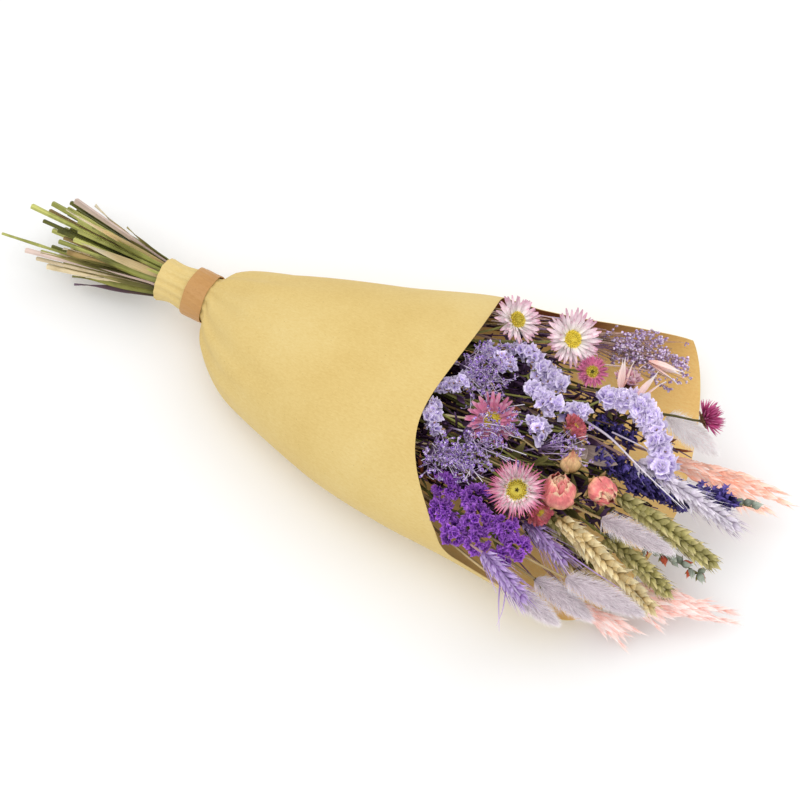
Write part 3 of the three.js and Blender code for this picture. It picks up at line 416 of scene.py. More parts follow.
def paint(code):
    """A web colour as linear light."""
    parts = [int(code[k:k + 2], 16) / 255 for k in (1, 3, 5)]
    return tuple(((c + 0.055) / 1.055) ** 2.4 if c > 0.04 else c / 12.92 for c in parts) + (1.0,)


def connect(tree, value, socket):
    """Gives a socket a plain value, or links another node's output to it."""
    if isinstance(value, bpy.types.NodeSocket):
        tree.links.new(value, socket)
    else:
        socket.default_value = value


def new_node(tree, kind, **settings):
    """A node; each setting is one of its inputs, as a value or an output, or one of its properties."""
    node = tree.nodes.new(kind)
    for name, value in settings.items():
        if name in node.inputs:
            connect(tree, value, node.inputs[name])
        else:
            setattr(node, name, value)
    return node


def math_node(tree, operation, *values):
    """The result of a Math node whose inputs are outputs of other nodes or plain numbers."""
    node = new_node(tree, "ShaderNodeMath", operation=operation)
    for value, socket in zip(values, node.inputs):
        connect(tree, value, socket)
    return node.outputs[0]


def map_range(tree, value, low, high, at_low=0.0, at_high=1.0):
    """A number that runs from at_low to at_high while value runs from low to high."""
    limits = {"From Min": low, "From Max": high, "To Min": at_low, "To Max": at_high}
    return new_node(tree, "ShaderNodeMapRange", Value=value, **limits).outputs[0]


def colour_ramp(tree, value, stops, interpolation="LINEAR"):
    """Colours along a number; stops is a list of (place, web colour)."""
    ramp = new_node(tree, "ShaderNodeValToRGB", Fac=value)
    ramp.color_ramp.interpolation = interpolation
    elements = ramp.color_ramp.elements
    while len(elements) < len(stops):
        elements.new(0.5)
    for element, (place, code) in zip(elements, stops):
        element.position = place
        element.color = paint(code)
    return ramp.outputs["Color"]


def object_places(tree):
    """The place of each point in its object."""
    return tree.nodes.new("ShaderNodeTexCoord").outputs["Object"]


def traits_of(tree):
    """Across, along and tone, as each point remembers them."""
    trait = new_node(tree, "ShaderNodeAttribute", attribute_name="trait")
    return new_node(tree, "ShaderNodeSeparateXYZ", Vector=trait.outputs["Vector"]).outputs


def new_group(name, inputs, outputs):
    """A shader node group with named float inputs and outputs."""
    group = bpy.data.node_groups.new(name, "ShaderNodeTree")
    for title, value in inputs.items():
        entry = group.interface.new_socket(title, in_out="INPUT", socket_type="NodeSocketFloat")
        entry.default_value = value
    for title in outputs:
        group.interface.new_socket(title, in_out="OUTPUT", socket_type="NodeSocketFloat")
    return group, group.nodes.new("NodeGroupInput").outputs, group.nodes.new("NodeGroupOutput").inputs


def use_group(tree, group, **values):
    """Places a group in a tree and gives back its outputs."""
    return new_node(tree, "ShaderNodeGroup", node_tree=group, **values).outputs


# %% [markdown]
# ## Colours that dry out
# The finishes share a few effects, and each is a node group. The plants use two: fine veins that
# run the length of a petal or husk, and blotches where the colour has faded. The papers use the
# third, the flecks, fibres and clouds of kraft pulp. Groups put out masks and heights only; the
# shader itself stays in the material.

# %% Veins and faded blotches
VEIN_STRETCH = 2.2
TONE_SHIFT = 41.0

veins_group, given, result = new_group(
    "lengthwise veins", {"Across": 0, "Along": 0, "Tone": 0, "Count": 8}, ["Veins"])
vein_place = new_node(
    veins_group, "ShaderNodeCombineXYZ",
    X=math_node(veins_group, "MULTIPLY", given["Across"], given["Count"]),
    Y=math_node(veins_group, "MULTIPLY", given["Along"], VEIN_STRETCH),
    Z=math_node(veins_group, "MULTIPLY", given["Tone"], TONE_SHIFT),
)
vein_noise = new_node(
    veins_group, "ShaderNodeTexNoise", Vector=vein_place.outputs[0], Scale=1.0, Detail=2.0, Roughness=0.6)
connect(veins_group, map_range(veins_group, vein_noise.outputs["Fac"], 0.32, 0.68), result["Veins"])

fading_group, given, result = new_group("faded blotches", {"Scale": 60}, ["Fading"])
fading_noise = new_node(
    fading_group, "ShaderNodeTexNoise", Vector=object_places(fading_group), Scale=given["Scale"],
    Detail=4.0, Roughness=0.65)
connect(fading_group, map_range(fading_group, fading_noise.outputs["Fac"], 0.3, 0.7), result["Fading"])

# %% Kraft pulp
FLECK_SCALE = 0.55
CELLS_WITHOUT_FLECK = 0.88
FIBRE_STRETCH = (0.35, 1.0, 1.0)
CLOUD_SCALE = 16.0

pulp_group, given, result = new_group("kraft pulp", {"Scale": 900}, ["Flecks", "Fibres", "Clouds"])
place = object_places(pulp_group)
fleck_cells = new_node(
    pulp_group, "ShaderNodeTexVoronoi", feature="F1", Vector=place, Randomness=1.0,
    Scale=math_node(pulp_group, "MULTIPLY", given["Scale"], FLECK_SCALE))
fleck_dots = map_range(pulp_group, fleck_cells.outputs["Distance"], 0.05, 0.16, 1.0, 0.0)
cell_draw = new_node(pulp_group, "ShaderNodeSeparateColor", Color=fleck_cells.outputs["Color"]).outputs[0]
few = math_node(pulp_group, "GREATER_THAN", cell_draw, CELLS_WITHOUT_FLECK)
connect(pulp_group, math_node(pulp_group, "MULTIPLY", fleck_dots, few), result["Flecks"])
fibre_place = new_node(pulp_group, "ShaderNodeMapping", Vector=place, Scale=FIBRE_STRETCH)
fibre_noise = new_node(
    pulp_group, "ShaderNodeTexNoise", Vector=fibre_place.outputs[0], Scale=given["Scale"], Detail=5.0,
    Roughness=0.7, Distortion=0.6)
connect(pulp_group, fibre_noise.outputs["Fac"], result["Fibres"])
cloud_noise = new_node(pulp_group, "ShaderNodeTexNoise", Vector=place, Scale=CLOUD_SCALE, Detail=3.0)
connect(pulp_group, cloud_noise.outputs["Fac"], result["Clouds"])
print("node groups", [group.name for group in bpy.data.node_groups])

# %% [markdown]
# ## One recipe for every dried finish
# The colours run from root to tip in a ramp. Veins and blotches darken them a little, and the
# tone of each petal or husk makes it lighter or darker than its neighbours, which is what keeps
# a dense head from looking like one lump.

# %% The recipe
VEIN_LIFT = 0.35
FADING_LIFT = 0.4


def new_material(name, specular):
    """A material with nodes, its tree and its shader."""
    material = bpy.data.materials.new(name)
    material.use_nodes = True
    shader = material.node_tree.nodes["Principled BSDF"]
    shader.inputs["Specular IOR Level"].default_value = specular
    return material, material.node_tree, shader


def dried_finish(name, colours, veins=0.3, count=8, fading=0.25, spread=0.5, rough=0.7, sheen=0.0,
                 relief=0.00015, scale=70, mottle=0.0, painted_glow=0.0):
    """A dried plant's surface: colours is a list of (place from root to tip, web colour).

    Mottle moves the colours up and down in blotches, spread makes parts differ in lightness, and
    glow is painted light: an emission in the surface's own colour, for the light that fine hair
    passes on between its strands and that thin husks and cups let through."""
    FINISHES[name], tree, shader = new_material(name, specular=0.3)
    shader.inputs["Roughness"].default_value = rough
    shader.inputs["Sheen Weight"].default_value = sheen
    across, along, tone = traits_of(tree)
    vein = use_group(tree, veins_group, Across=across, Along=along, Tone=tone, Count=count)["Veins"]
    fade = use_group(tree, fading_group, Scale=scale)["Fading"]
    place = math_node(tree, "MULTIPLY_ADD", math_node(tree, "SUBTRACT", fade, 0.5), mottle, along)
    ramp = colour_ramp(tree, place, colours, "B_SPLINE" if len(colours) > 3 else "EASE")
    light = math_node(tree, "MULTIPLY_ADD", tone, spread, 1 - spread * 0.5)
    dark_veins = math_node(tree, "MULTIPLY_ADD", vein, -veins, 1 + veins * VEIN_LIFT)
    dark_fade = math_node(tree, "MULTIPLY_ADD", fade, -fading, 1 + fading * FADING_LIFT)
    shade = math_node(tree, "MULTIPLY", math_node(tree, "MULTIPLY", light, dark_veins), dark_fade)
    colour = new_node(tree, "ShaderNodeVectorMath", operation="SCALE", Scale=shade)
    connect(tree, ramp, colour.inputs[0])
    connect(tree, colour.outputs[0], shader.inputs["Base Color"])
    # Painted light: a faint emission in the surface's own colour.
    if painted_glow:
        connect(tree, colour.outputs[0], shader.inputs["Emission Color"])
        shader.inputs["Emission Strength"].default_value = painted_glow
    bump = new_node(tree, "ShaderNodeBump", Strength=0.6, Distance=relief, Height=vein)
    connect(tree, bump.outputs[0], shader.inputs["Normal"])


# %% [markdown]
# ## The palette
# Most of these flowers are dyed or bleached, so few parts have one even colour. The pale daisies'
# petals turn pink towards the tip, while statice, husks and plumes are darker at the root and
# bleach towards the tip. In the statice, sea lavender, larkspur and husks that dark root is partly
# painted shade, the shade deep among their crowded parts. Tails and plumes get sheen, because light
# catches in their soft coats.

# %% Finishes of petals, discs and florets
dried_finish("pale petal", [(0.0, "#fbf1e4"), (0.4, "#fffafa"), (0.8, "#fbe0e9"), (1.0, "#efb4cc")],
             veins=0.25, count=5, spread=0.28, mottle=0.3, scale=90)
dried_finish("pink petal", [(0.0, "#fbf3e6"), (0.42, "#fff6f8"), (0.7, "#f4a8c6"), (1.0, "#dd5c93")],
             veins=0.3, count=5, spread=0.35, mottle=0.25, scale=90)
dried_finish("vivid petal", [(0.0, "#fbe2e8"), (0.3, "#f0a4c4"), (0.75, "#de649c"), (1.0, "#eda8c8")],
             veins=0.3, count=5, spread=0.35, mottle=0.25, scale=90)
dried_finish("disc eye", [(0.0, "#2c210c"), (1.0, "#4e3c18")], veins=0.2, spread=0.3)
dried_finish("rosy petal", [(0.0, "#d0608f"), (0.3, "#e892b3"), (0.7, "#f8c6d6"), (1.0, "#ffe2ea")],
             veins=0.3, spread=0.35, mottle=0.3, scale=90)
dried_finish("faded petal", [(0.0, "#f2ccd4"), (0.4, "#f0a2c0"), (0.8, "#de78a4"), (1.0, "#f2bcd2")],
             veins=0.3, spread=0.4, mottle=0.5, scale=90)
dried_finish("salmon petal", [(0.0, "#f8cfc0"), (0.5, "#f2a2a0"), (1.0, "#dc7080")],
             veins=0.35, spread=0.5, mottle=0.5, scale=90)
dried_finish("magenta petal", [(0.0, "#8a2c54"), (0.35, "#b83c78"), (0.8, "#de62a0"), (1.0, "#eeaac8")],
             veins=0.35, spread=0.5, mottle=0.4, scale=90)
dried_finish("calyx", [(0.0, "#6d5231"), (0.5, "#a07c54"), (1.0, "#c99a78")], veins=0.4, spread=0.5)
dried_finish("yellow disc", [(0.0, "#8b7418"), (0.2, "#cdb628"), (0.6, "#f2dd46"), (1.0, "#fde96a")],
             veins=0.1, spread=0.6, rough=0.85)
dried_finish("olive disc", [(0.0, "#6a581a"), (0.25, "#ac9426"), (0.7, "#dcc748"), (1.0, "#f0dd62")],
             veins=0.1, spread=0.6, rough=0.85)
dried_finish("rose petal", [(0.0, "#d9a878"), (0.25, "#f2b892"), (0.55, "#ee9890"), (0.8, "#d8626c"),
                            (0.93, "#f09c90"), (1.0, "#fbd6b0")],
             veins=0.35, count=5, fading=0.4, spread=0.5, relief=0.0005, scale=130, mottle=0.4)
dried_finish("yellow rose petal", [(0.0, "#b59a5c"), (0.5, "#ecc78c"), (0.8, "#f7d29c"), (1.0, "#e88f78")],
             veins=0.3, count=5, fading=0.5, spread=0.3, relief=0.0005, scale=130, mottle=0.4)
dried_finish("sepal", [(0.0, "#6f6a3c"), (0.5, "#8f8450"), (1.0, "#b79b6e")], veins=0.35, spread=0.4)
# Painted shade, in part: the cups, mist and navy petals start from a dark root.
dried_finish("lavender cup", [(0.0, "#6a528e"), (0.3, "#a48fd0"), (0.7, "#cebcf0"), (1.0, "#f6ecff")],
             veins=0.36, count=9, fading=0.25, spread=0.35, painted_glow=0.05)
dried_finish("violet cup", [(0.0, "#26063c"), (0.35, "#5e1894"), (0.75, "#8e36c6"), (1.0, "#c884ea")],
             veins=0.3, count=9, fading=0.35, spread=0.6)
dried_finish("mist calyx", [(0.0, "#8c6ea2"), (0.6, "#c6acde"), (1.0, "#f4e8fc")], veins=0.2, spread=0.6)
dried_finish("mist bloom", [(0.0, "#4c2888"), (0.5, "#7c50b8"), (1.0, "#ba94e6")], veins=0.2, spread=0.8)
dried_finish("bead", [(0.0, "#9a7aac"), (0.5, "#ccb0da"), (1.0, "#f4e6f8")], veins=0.2, spread=0.6)
dried_finish("navy petal", [(0.0, "#140c30"), (0.5, "#2c215e"), (1.0, "#6456a4")], veins=0.4, spread=0.8,
             mottle=0.3)

# %% Finishes of husks, hair, leaves and stems
# Painted shade, in part: the husks' dark roots.
dried_finish("straw husk", [(0.0, "#846836"), (0.3, "#c4a870"), (0.75, "#ecdcae"), (1.0, "#fbf0cc")],
             veins=0.42, count=5, spread=0.45, rough=0.6, mottle=0.2, scale=150, painted_glow=0.05)
dried_finish("green husk", [(0.0, "#574e22"), (0.3, "#8f884a"), (0.7, "#c8bd80"), (1.0, "#eedeac")],
             veins=0.42, count=5, spread=0.45, rough=0.6, mottle=0.3, scale=150, painted_glow=0.04)
dried_finish("lilac husk", [(0.0, "#7c5294"), (0.35, "#ae8fcc"), (0.75, "#cfb6e4"), (1.0, "#efdef8")],
             veins=0.38, count=5, spread=0.5, rough=0.6)
dried_finish("silver husk", [(0.0, "#a396ab"), (0.3, "#dbd0e0"), (0.75, "#f4ecf6"), (1.0, "#fffcff")],
             veins=0.38, count=5, spread=0.4, rough=0.6)
# Painted light: these hair and plume finishes get a faint emission, as do the straw and green husks and the
# lavender cups.
dried_finish("mauve hair", [(0.0, "#c2b4bc"), (0.5, "#e4d8de"), (1.0, "#fcf8fa")], veins=0.05, spread=0.3,
             fading=0.15, rough=0.8, sheen=0.3, painted_glow=0.1)
dried_finish("white hair", [(0.0, "#eae2e2"), (0.5, "#fbf6f6"), (1.0, "#ffffff")], veins=0.05, spread=0.2,
             fading=0.1, rough=0.8, sheen=0.3, painted_glow=0.1)
dried_finish("peach husk", [(0.0, "#f2b096"), (0.4, "#f8c9b4"), (0.8, "#fde0d4"), (1.0, "#fff5ef")],
             veins=0.25, count=4, spread=0.3, rough=0.65, sheen=0.1, painted_glow=0.14)
dried_finish("rosy husk", [(0.0, "#eebcb0"), (0.4, "#f8d5cd"), (0.8, "#fdeae6"), (1.0, "#fff8f6")],
             veins=0.25, count=4, spread=0.3, rough=0.65, sheen=0.1, painted_glow=0.14)
dried_finish("oat husk", [(0.0, "#eeb0a4"), (0.4, "#fad8d0"), (1.0, "#fff2ee")], veins=0.28, count=7,
             spread=0.25, rough=0.6, mottle=0.4)
dried_finish("silver bud", [(0.0, "#6a7462"), (0.5, "#9ea799"), (1.0, "#cbd1c4")], veins=0.4, count=5,
             spread=0.4, rough=0.65)
dried_finish("orange bud", [(0.0, "#7c3020"), (0.6, "#c0553a"), (1.0, "#dd8662")], veins=0.3, spread=0.4)
dried_finish("green leaf", [(0.0, "#4a461e"), (0.5, "#6b6636"), (1.0, "#a09258")], veins=0.4, count=7,
             fading=0.4, spread=0.5, mottle=0.3)
dried_finish("taupe leaf", [(0.0, "#7a625a"), (0.5, "#a08c84"), (1.0, "#b9a49a")], veins=0.4, count=9,
             fading=0.35, spread=0.3)
dried_finish("rust leaf", [(0.0, "#7a3f22"), (0.5, "#a8613c"), (1.0, "#d59474")], veins=0.4, count=6,
             fading=0.4, spread=0.5, mottle=0.3)
# Painted shade: dark plum for the undergrowth and some low broom stalks, standing for the shade inside the
# sleeve.
dried_finish("plum shade", [(0.0, "#32172e"), (0.5, "#503052"), (1.0, "#80608a")], veins=0.3, spread=0.8)
dried_finish("green stem", [(0.0, "#b4b468"), (0.12, "#989c50"), (0.35, "#a0a050"), (1.0, "#7d7b43")],
             veins=0.45, count=3, fading=0.5, spread=0.7, rough=0.55, mottle=0.5, scale=40)
dried_finish("dark stem", [(0.0, "#74762f"), (0.3, "#62642f"), (1.0, "#6b6636")],
             veins=0.45, count=3, fading=0.5, spread=0.7, rough=0.55, mottle=0.5, scale=40)
dried_finish("straw stem", [(0.0, "#ecd9b2"), (0.3, "#d9c18d"), (1.0, "#c2a978")], veins=0.35, count=3,
             fading=0.4, spread=0.35, rough=0.55, mottle=0.5, scale=40)
dried_finish("brown stem", [(0.0, "#a58c5a"), (0.4, "#84693c"), (1.0, "#6a5240")], veins=0.4, count=3,
             fading=0.4, spread=0.6, mottle=0.5, scale=40)
dried_finish("pink stem", [(0.0, "#e8d0c4"), (0.5, "#cdaa9c"), (1.0, "#b4908a")], veins=0.3, count=3,
             spread=0.4)
dried_finish("lilac twig", [(0.0, "#6e5084"), (0.4, "#b49ac4"), (1.0, "#faf2fc")], veins=0.1, spread=0.5)
dried_finish("dry blade", [(0.0, "#cdb27c"), (0.5, "#e2cc9b"), (1.0, "#f0e2c2")], veins=0.4, count=9,
             fading=0.35, spread=0.4, mottle=0.4, scale=50)
dried_finish("plum blade", [(0.0, "#6b5a44"), (0.5, "#6f5560"), (1.0, "#8c7388")], veins=0.4, count=9,
             fading=0.35, spread=0.5, mottle=0.4, scale=50)
print("finishes", len(FINISHES))

# %% [markdown]
# ## Stems follow the solids
# Every plant's solid carries one stem from its cut end, through the neck, to its head. Instead
# of guessing the route again, the lesson slices that solid at even steps and takes the middle of
# each slice. The dressed stem then lies where the model has it, and only gains ribs, a colour that
# changes along it and a pale cut end. One stem also dips a little, to pass under the violet
# statice.

# %% The centre line of a solid's stem
STEM_SLICES = 44
STEM_REACH = 5.5
CUT_END = 0.6


def stem_line(node, stop):
    """The middle of each slice through a stem, from its cut end to x = stop, and its radii."""
    mesh = bpy.data.objects[node].data
    points = np.empty(len(mesh.vertices) * 3)
    mesh.vertices.foreach_get("co", points)
    points = in_millimetres(points.reshape(-1, 3))
    edges = np.empty(len(mesh.edges) * 2, dtype=int)
    mesh.edges.foreach_get("vertices", edges)
    first, second = points[edges.reshape(-1, 2)].transpose(1, 0, 2)
    nearer = np.minimum(first[:, 0], second[:, 0])
    farther = np.maximum(first[:, 0], second[:, 0])
    line, radii = [], []
    for x in np.linspace(points[:, 0].min() + CUT_END, stop, STEM_SLICES):
        crossing = (nearer <= x) & (farther > x)
        one, two = first[crossing], second[crossing]
        spots = one + ((x - one[:, 0]) / (two[:, 0] - one[:, 0]))[:, None] * (two - one)
        if line:
            spots = spots[np.linalg.norm(spots[:, 1:] - line[-1][1:], axis=1) < STEM_REACH]
        if len(spots) >= 3:
            line.append((spots.min(axis=0) + spots.max(axis=0)) / 2)
            radii.append(np.median(np.linalg.norm(spots - line[-1], axis=1)))
    return np.array(line), np.array(radii)


# %% A dressed stem
STEM_POINTS = 64
HEAD_CLEARANCE = 12
STEM_TAPER = 0.3
THINNEST, THICKEST = 0.8, 2.5
JOINTS = 2
JOINT_SWELL, JOINT_LENGTH = 0.3, 0.012
DARK_STEMS = 0.4
STEM_DIPS = {"lilac_wheat_near": 13.0}
DIP_START, DIP_LENGTH = 185, 95
PITH = husk([0.96, 1.0, 0.9], sides=8)
dried_finish("pith", [(0.0, "#d9cd9a"), (1.0, "#efe6c4")], veins=0.1, spread=0.3)


def add_stem(sheaf, node, root, way, finish):
    """The stem of a plant, up to the root of its head, with a joint here and there."""
    root, way = np.asarray(root, float), unit(way)
    line, radii = stem_line(node, root[0] - HEAD_CLEARANCE)
    shares = np.linspace(0, 1, STEM_POINTS)
    radii = np.interp(shares, np.linspace(0, 1, len(radii)), radii)
    radii = np.clip(radii * (1.02 - STEM_TAPER * shares), THINNEST, THICKEST)
    rng = seeded(node + " stem")
    for joint in rng.uniform(0.02, 0.3, JOINTS):
        radii = radii + JOINT_SWELL * np.exp(-((shares - joint) / JOINT_LENGTH) ** 2)
    line = smooth_line(np.vstack([line, root - way * 3, root + way]), STEM_POINTS, rounds=2)
    dip_share = np.clip((line[:, 0] - DIP_START) / DIP_LENGTH, 0, 1)
    line[:, 2] -= STEM_DIPS.get(node, 0.0) * np.sin(math.pi * dip_share) ** 0.7
    tone = rng.uniform()
    if finish == "green stem" and tone < DARK_STEMS:
        finish = "dark stem"
    sheaf.add(tube(line, radii, sides=8, ribs=0.13), finish, tone)
    pith = radii[0] * 0.8
    sheaf.stamp(PITH, "pith", line[0], line[0] - line[1], UP, [pith, pith, 0.3], tone)
    return line


def start_plant(node, root, way, stem):
    """What every plant begins with: random draws, a sheaf that holds its stem, and the stem's line."""
    sheaf = Sheaf()
    line = add_stem(sheaf, node, root, way, stem)
    return seeded(node), sheaf, line


def start_head(node, base, tip, stem):
    """The same for a long head, with the head's arched axis as the line."""
    axis = head_line(base, tip)
    rng, sheaf, _ = start_plant(node, axis[0], axis[2] - axis[0], stem)
    return rng, sheaf, axis


# %% [markdown]
# ## Everlasting daisies
# The straw daisy's petals are dry, glossy bracts in a few rings round a domed disc. Each ring here
# is one petal shape stamped round the disc, shorter and more upright towards the middle. Modelling
# each petal alone would take longer and look no different from here. Small bracts close the flower
# from below.

# %% Daisies
STRAP = blade([0.45, 0.75, 0.95, 1.0, 0.85, 0.4], rows=5, bend=0.3, cup=0.05, thick=0.016, teeth=0.02)
POINTED = blade([0.6, 0.95, 1.0, 0.8, 0.45, 0.05], rows=5, bend=0.45, cup=0.06, thick=0.016)
NOTCHED = blade([0.45, 0.75, 0.95, 1.0, 0.9, 0.62], rows=5, bend=0.25, cup=0.06, thick=0.016, teeth=0.05)
BRACT = blade([0.55, 1.0, 0.8, 0.08], rows=3, bend=0.5, thick=0.07)
PETAL_ROOT = 0.72
RING_DROP, RING_RISE = 2.2, 0.55
CALYX = 7.0
CALYX_RINGS = [(14, 60, 6.5), (12, 35, 6.0), (10, 20, 5.5)]


def add_daisy(name, centre, face, radius, disc, petal, finish, rings, disc_finish, slot, dent):
    """A daisy and its disc; each ring is (count, lean in degrees, share of the radius, half width)."""
    face = unit(face)
    centre = np.asarray(centre, float)
    rng, sheaf, _ = start_plant(name, centre - face * CALYX, face, "green stem")
    for ring, (count, lean, share, half) in enumerate(rings):
        turns = turns_round(count, 0.5 * (ring % 2)) + rng.normal(0, 0.05, count)
        ways = leaning(face, np.radians(lean + rng.normal(0, 5, count)), turns)
        outward = leaning(face, QUARTER_TURN, turns)
        roots = centre + outward * disc * PETAL_ROOT - face * (RING_DROP - RING_RISE * ring)
        lengths = (radius * share - disc * PETAL_ROOT) * rng.uniform(0.9, 1.08, count)
        halves = half * rng.uniform(0.82, 1.15, count)
        fronts = face + 0.3 * rng.normal(0, 1, (count, 3))
        scales = triples(halves, lengths, lengths)
        sheaf.stamp(petal, finish, roots, ways, fronts, scales, rng.uniform(size=count))
    for ring, (count, lean, length) in enumerate(CALYX_RINGS):
        ways = leaning(face, math.radians(lean), turns_round(count, 0.5 * ring))
        roots = centre - face * (CALYX - 0.5 + 0.6 * ring) + ways * 0.8
        sheaf.stamp(BRACT, "calyx", roots, ways, -face, [1.5, length, length], rng.uniform(size=count))
    sheaf.build(f"{name}_petals", slot, name)
    add_disc(name, centre, face, disc, disc_finish, dent)


# %% [markdown]
# ## Discs of the daisies
# The disc is a dome covered with small florets in the spiral that real ones grow in. A bump on the
# dome would be cheaper, but the florets make its rough outline. In some the middle has sunk, and
# dark florets stand in the dent.

# %% Discs
DOME = husk([1.0, 0.98, 0.92, 0.8, 0.6, 0.12], sides=20)
FLORET = husk([0.6, 1.0, 0.8, 0.3], sides=4)
DOME_DROP, DOME_SHARE, DOME_HEIGHT = 1.8, 0.93, 3.0
FEWEST_FLORETS, FLORETS_PER_MM = 60, 9
DENT_SHARE = 0.45
EYE_FLORETS = 5
EYE_TURN = 1.26


def add_disc(name, centre, face, radius, finish, dent):
    """The domed disc of a daisy, with its florets in a spiral; dent is how far its middle has sunk."""
    rng = seeded(name + " disc")
    sheaf = Sheaf()
    half = radius * DOME_SHARE
    sheaf.stamp(DOME, finish, centre - face * DOME_DROP, face, UP, [half, half, DOME_HEIGHT], 0.2)
    count = int(FEWEST_FLORETS + FLORETS_PER_MM * radius)
    shares = np.sqrt((np.arange(count) + 0.5) / count)
    flat = leaning(face, QUARTER_TURN, GOLDEN_TURN * np.arange(count))
    heights = 1.3 * np.sqrt(np.maximum(0, 1 - shares ** 2)) - 1.6 - dent * (shares < DENT_SHARE)
    roots = centre + flat * (radius * 0.97 * shares)[:, None] + face * heights[:, None]
    ways = unit(face + 0.75 * flat * shares[:, None] + rng.normal(0, 0.1, (count, 3)))
    size = 0.62 + 0.06 * radius / 4
    scales = triples(size, size, 2.1 + 0.7 * np.sin(math.pi * shares))
    tones = np.clip(0.25 + 0.6 * shares ** 1.5 + rng.normal(0, 0.15, count), 0, 1)
    sheaf.stamp(FLORET, finish, roots, ways, UP, scales, tones)
    if dent:
        eye = leaning(face, math.radians(50), np.arange(EYE_FLORETS) * EYE_TURN)
        sheaf.stamp(FLORET, "disc eye", centre + face * (1.9 - dent) + eye * 0.4, eye, UP, [0.5, 0.5, 1.7])
    sheaf.build(f"{name}_florets", "flower_disc", f"{name}_disc")


# %% [markdown]
# ## Roses
# A dried rose is a tight bud whose petals have shrunk and crinkled, with the outer edges rolled
# back. Each petal is a curved wall round the axis of the rose. It spans a third to almost a half
# of a turn and overlaps its neighbours in a golden spiral.

# %% Roses
ROSE_BULGE = [(0.0, 0.3), (0.2, 0.8), (0.42, 1.0), (0.68, 0.94), (0.86, 0.8), (1.0, 0.66)]
ROSE_HEART = husk([0.3, 0.85, 1.0, 0.95, 0.75, 0.42, 0.08], sides=16)
PETAL_WALL = 0.3
PETAL_COLUMNS, PETAL_ROWS = 11, 10
CREASES = 0.07
WIDEST_SPAN, SPAN_LOSS = 1.45, 0.35
HEART_SHARE = 0.62
SEPALS = 6
SEPAL_LEAN = math.radians(38)


def rose_petal(turn, reach, height, span, closing, flare, rng):
    """One petal round the Z axis: closing draws its edge inwards, flare rolls it outwards."""
    places = np.linspace(-1, 1, PETAL_COLUMNS)
    shares = np.linspace(0, 1, PETAL_ROWS)
    phase = rng.uniform(0, 6, 3)
    bulge_at, bulge = np.array(ROSE_BULGE).T
    rings = []
    for share in shares:
        half = span * (0.5 + 0.5 * math.sin(math.pi * min(1, 0.1 + 0.7 * share)))
        angle = turn + half * places
        crease = CREASES * np.sin(8 * places + phase[0] + 3 * share) + 0.03 * np.sin(17 * places + phase[1])
        opening = flare * share ** 3 * (1 - 0.4 * places ** 2)
        outer = reach * (np.interp(share, bulge_at, bulge) - closing * share ** 4 + crease * share + opening)
        ragged = 0.05 * np.sin(9 * places + phase[2]) * share ** 4
        top = height * (share * (1 - 0.2 * places ** 2 * share) + ragged) - 0.35 * reach * opening * share
        inner = outer - PETAL_WALL
        front = triples(outer * np.cos(angle), outer * np.sin(angle), top)
        back = triples(inner * np.cos(angle), inner * np.sin(angle), top)
        rings.append(np.concatenate([front, back[::-1]]))
    return loft(rings, np.concatenate([places, places[::-1]]), shares)


def add_rose(node, base, face, radius, finish, petals, closed):
    """A rose; closed runs from 0 for an open one to 1 for a bud."""
    face = unit(face)
    base = np.asarray(base, float)
    rng, sheaf, _ = start_plant(node, base, face, "green stem")
    for k in range(petals):
        share = (k + 1) / petals
        reach = radius * (0.2 + 0.74 * share ** 0.8) * (1 - 0.1 * closed)
        height = radius * 2.0 * (1.0 - 0.24 * share ** 2) * rng.uniform(0.9, 1.06)
        flare = max(0.0, 1.2 * (share - 0.6)) * (1 - closed) * rng.uniform(0.1, 1.4)
        closing = 0.4 * (1 - share) + 0.25 * closed
        span = WIDEST_SPAN - SPAN_LOSS * share
        petal = rose_petal(k * GOLDEN_TURN, reach, height, span, closing, flare, rng)
        sheaf.stamp(petal, finish, base, face, UP, 1.0, rng.uniform(0.35, 1.0))
    heart = radius * HEART_SHARE
    sheaf.stamp(ROSE_HEART, finish, base, face, UP, [heart, heart, radius * 1.9], 0.3)
    turns = turns_round(SEPALS)
    ways = leaning(face, SEPAL_LEAN, turns)
    roots = base + leaning(face, QUARTER_TURN, turns) * radius * 0.25 - face * 0.5
    scales = [radius * 0.2, radius * 1.1, radius * 1.1]
    sheaf.stamp(BRACT, "sepal", roots, ways, -face, scales, rng.uniform(size=SEPALS))
    sheaf.build(f"{node}_bloom", "rose_petals", node)


# %% [markdown]
# ## Ears of wheat and lilac ears
# An ear is a row of spikelets that alternate left and right of a zigzag stalk. Each spikelet is
# a fan of plump husks with a keel. In wheat each husk ends in a short bristle. The dyed lilac ears
# are slimmer, and their husks end in long hair-like awns.

# %% Ears
HAIR_TIP = 0.15
HUSK = husk([0.25, 0.85, 1.0, 0.66, 0.26, 0.03], sides=5, keel=0.55, bend=0.4)
HUSK_HALF, HUSK_LENGTH = 1.95, 8.5
HUSK_PITCH = 3.1
HUSK_RANKS = [(0.0, 38), (0.85, 29), (-0.85, 29)]
FULL_EAR_WIDTH = 14.5
AWN_HALF = 0.27


def hair(bend):
    """A fine hair of unit length and half width, bent to its front."""
    shares = np.array([0.0, 0.55, 1.0])
    turns = turns_round(3)
    rings = []
    for share in shares:
        radius = 1 - (1 - HAIR_TIP) * share
        rings.append(triples(radius * np.cos(turns), radius * np.sin(turns) + bend * share ** 2, share))
    return loft(rings, np.cos(turns), shares)


AWN = hair(0.0)


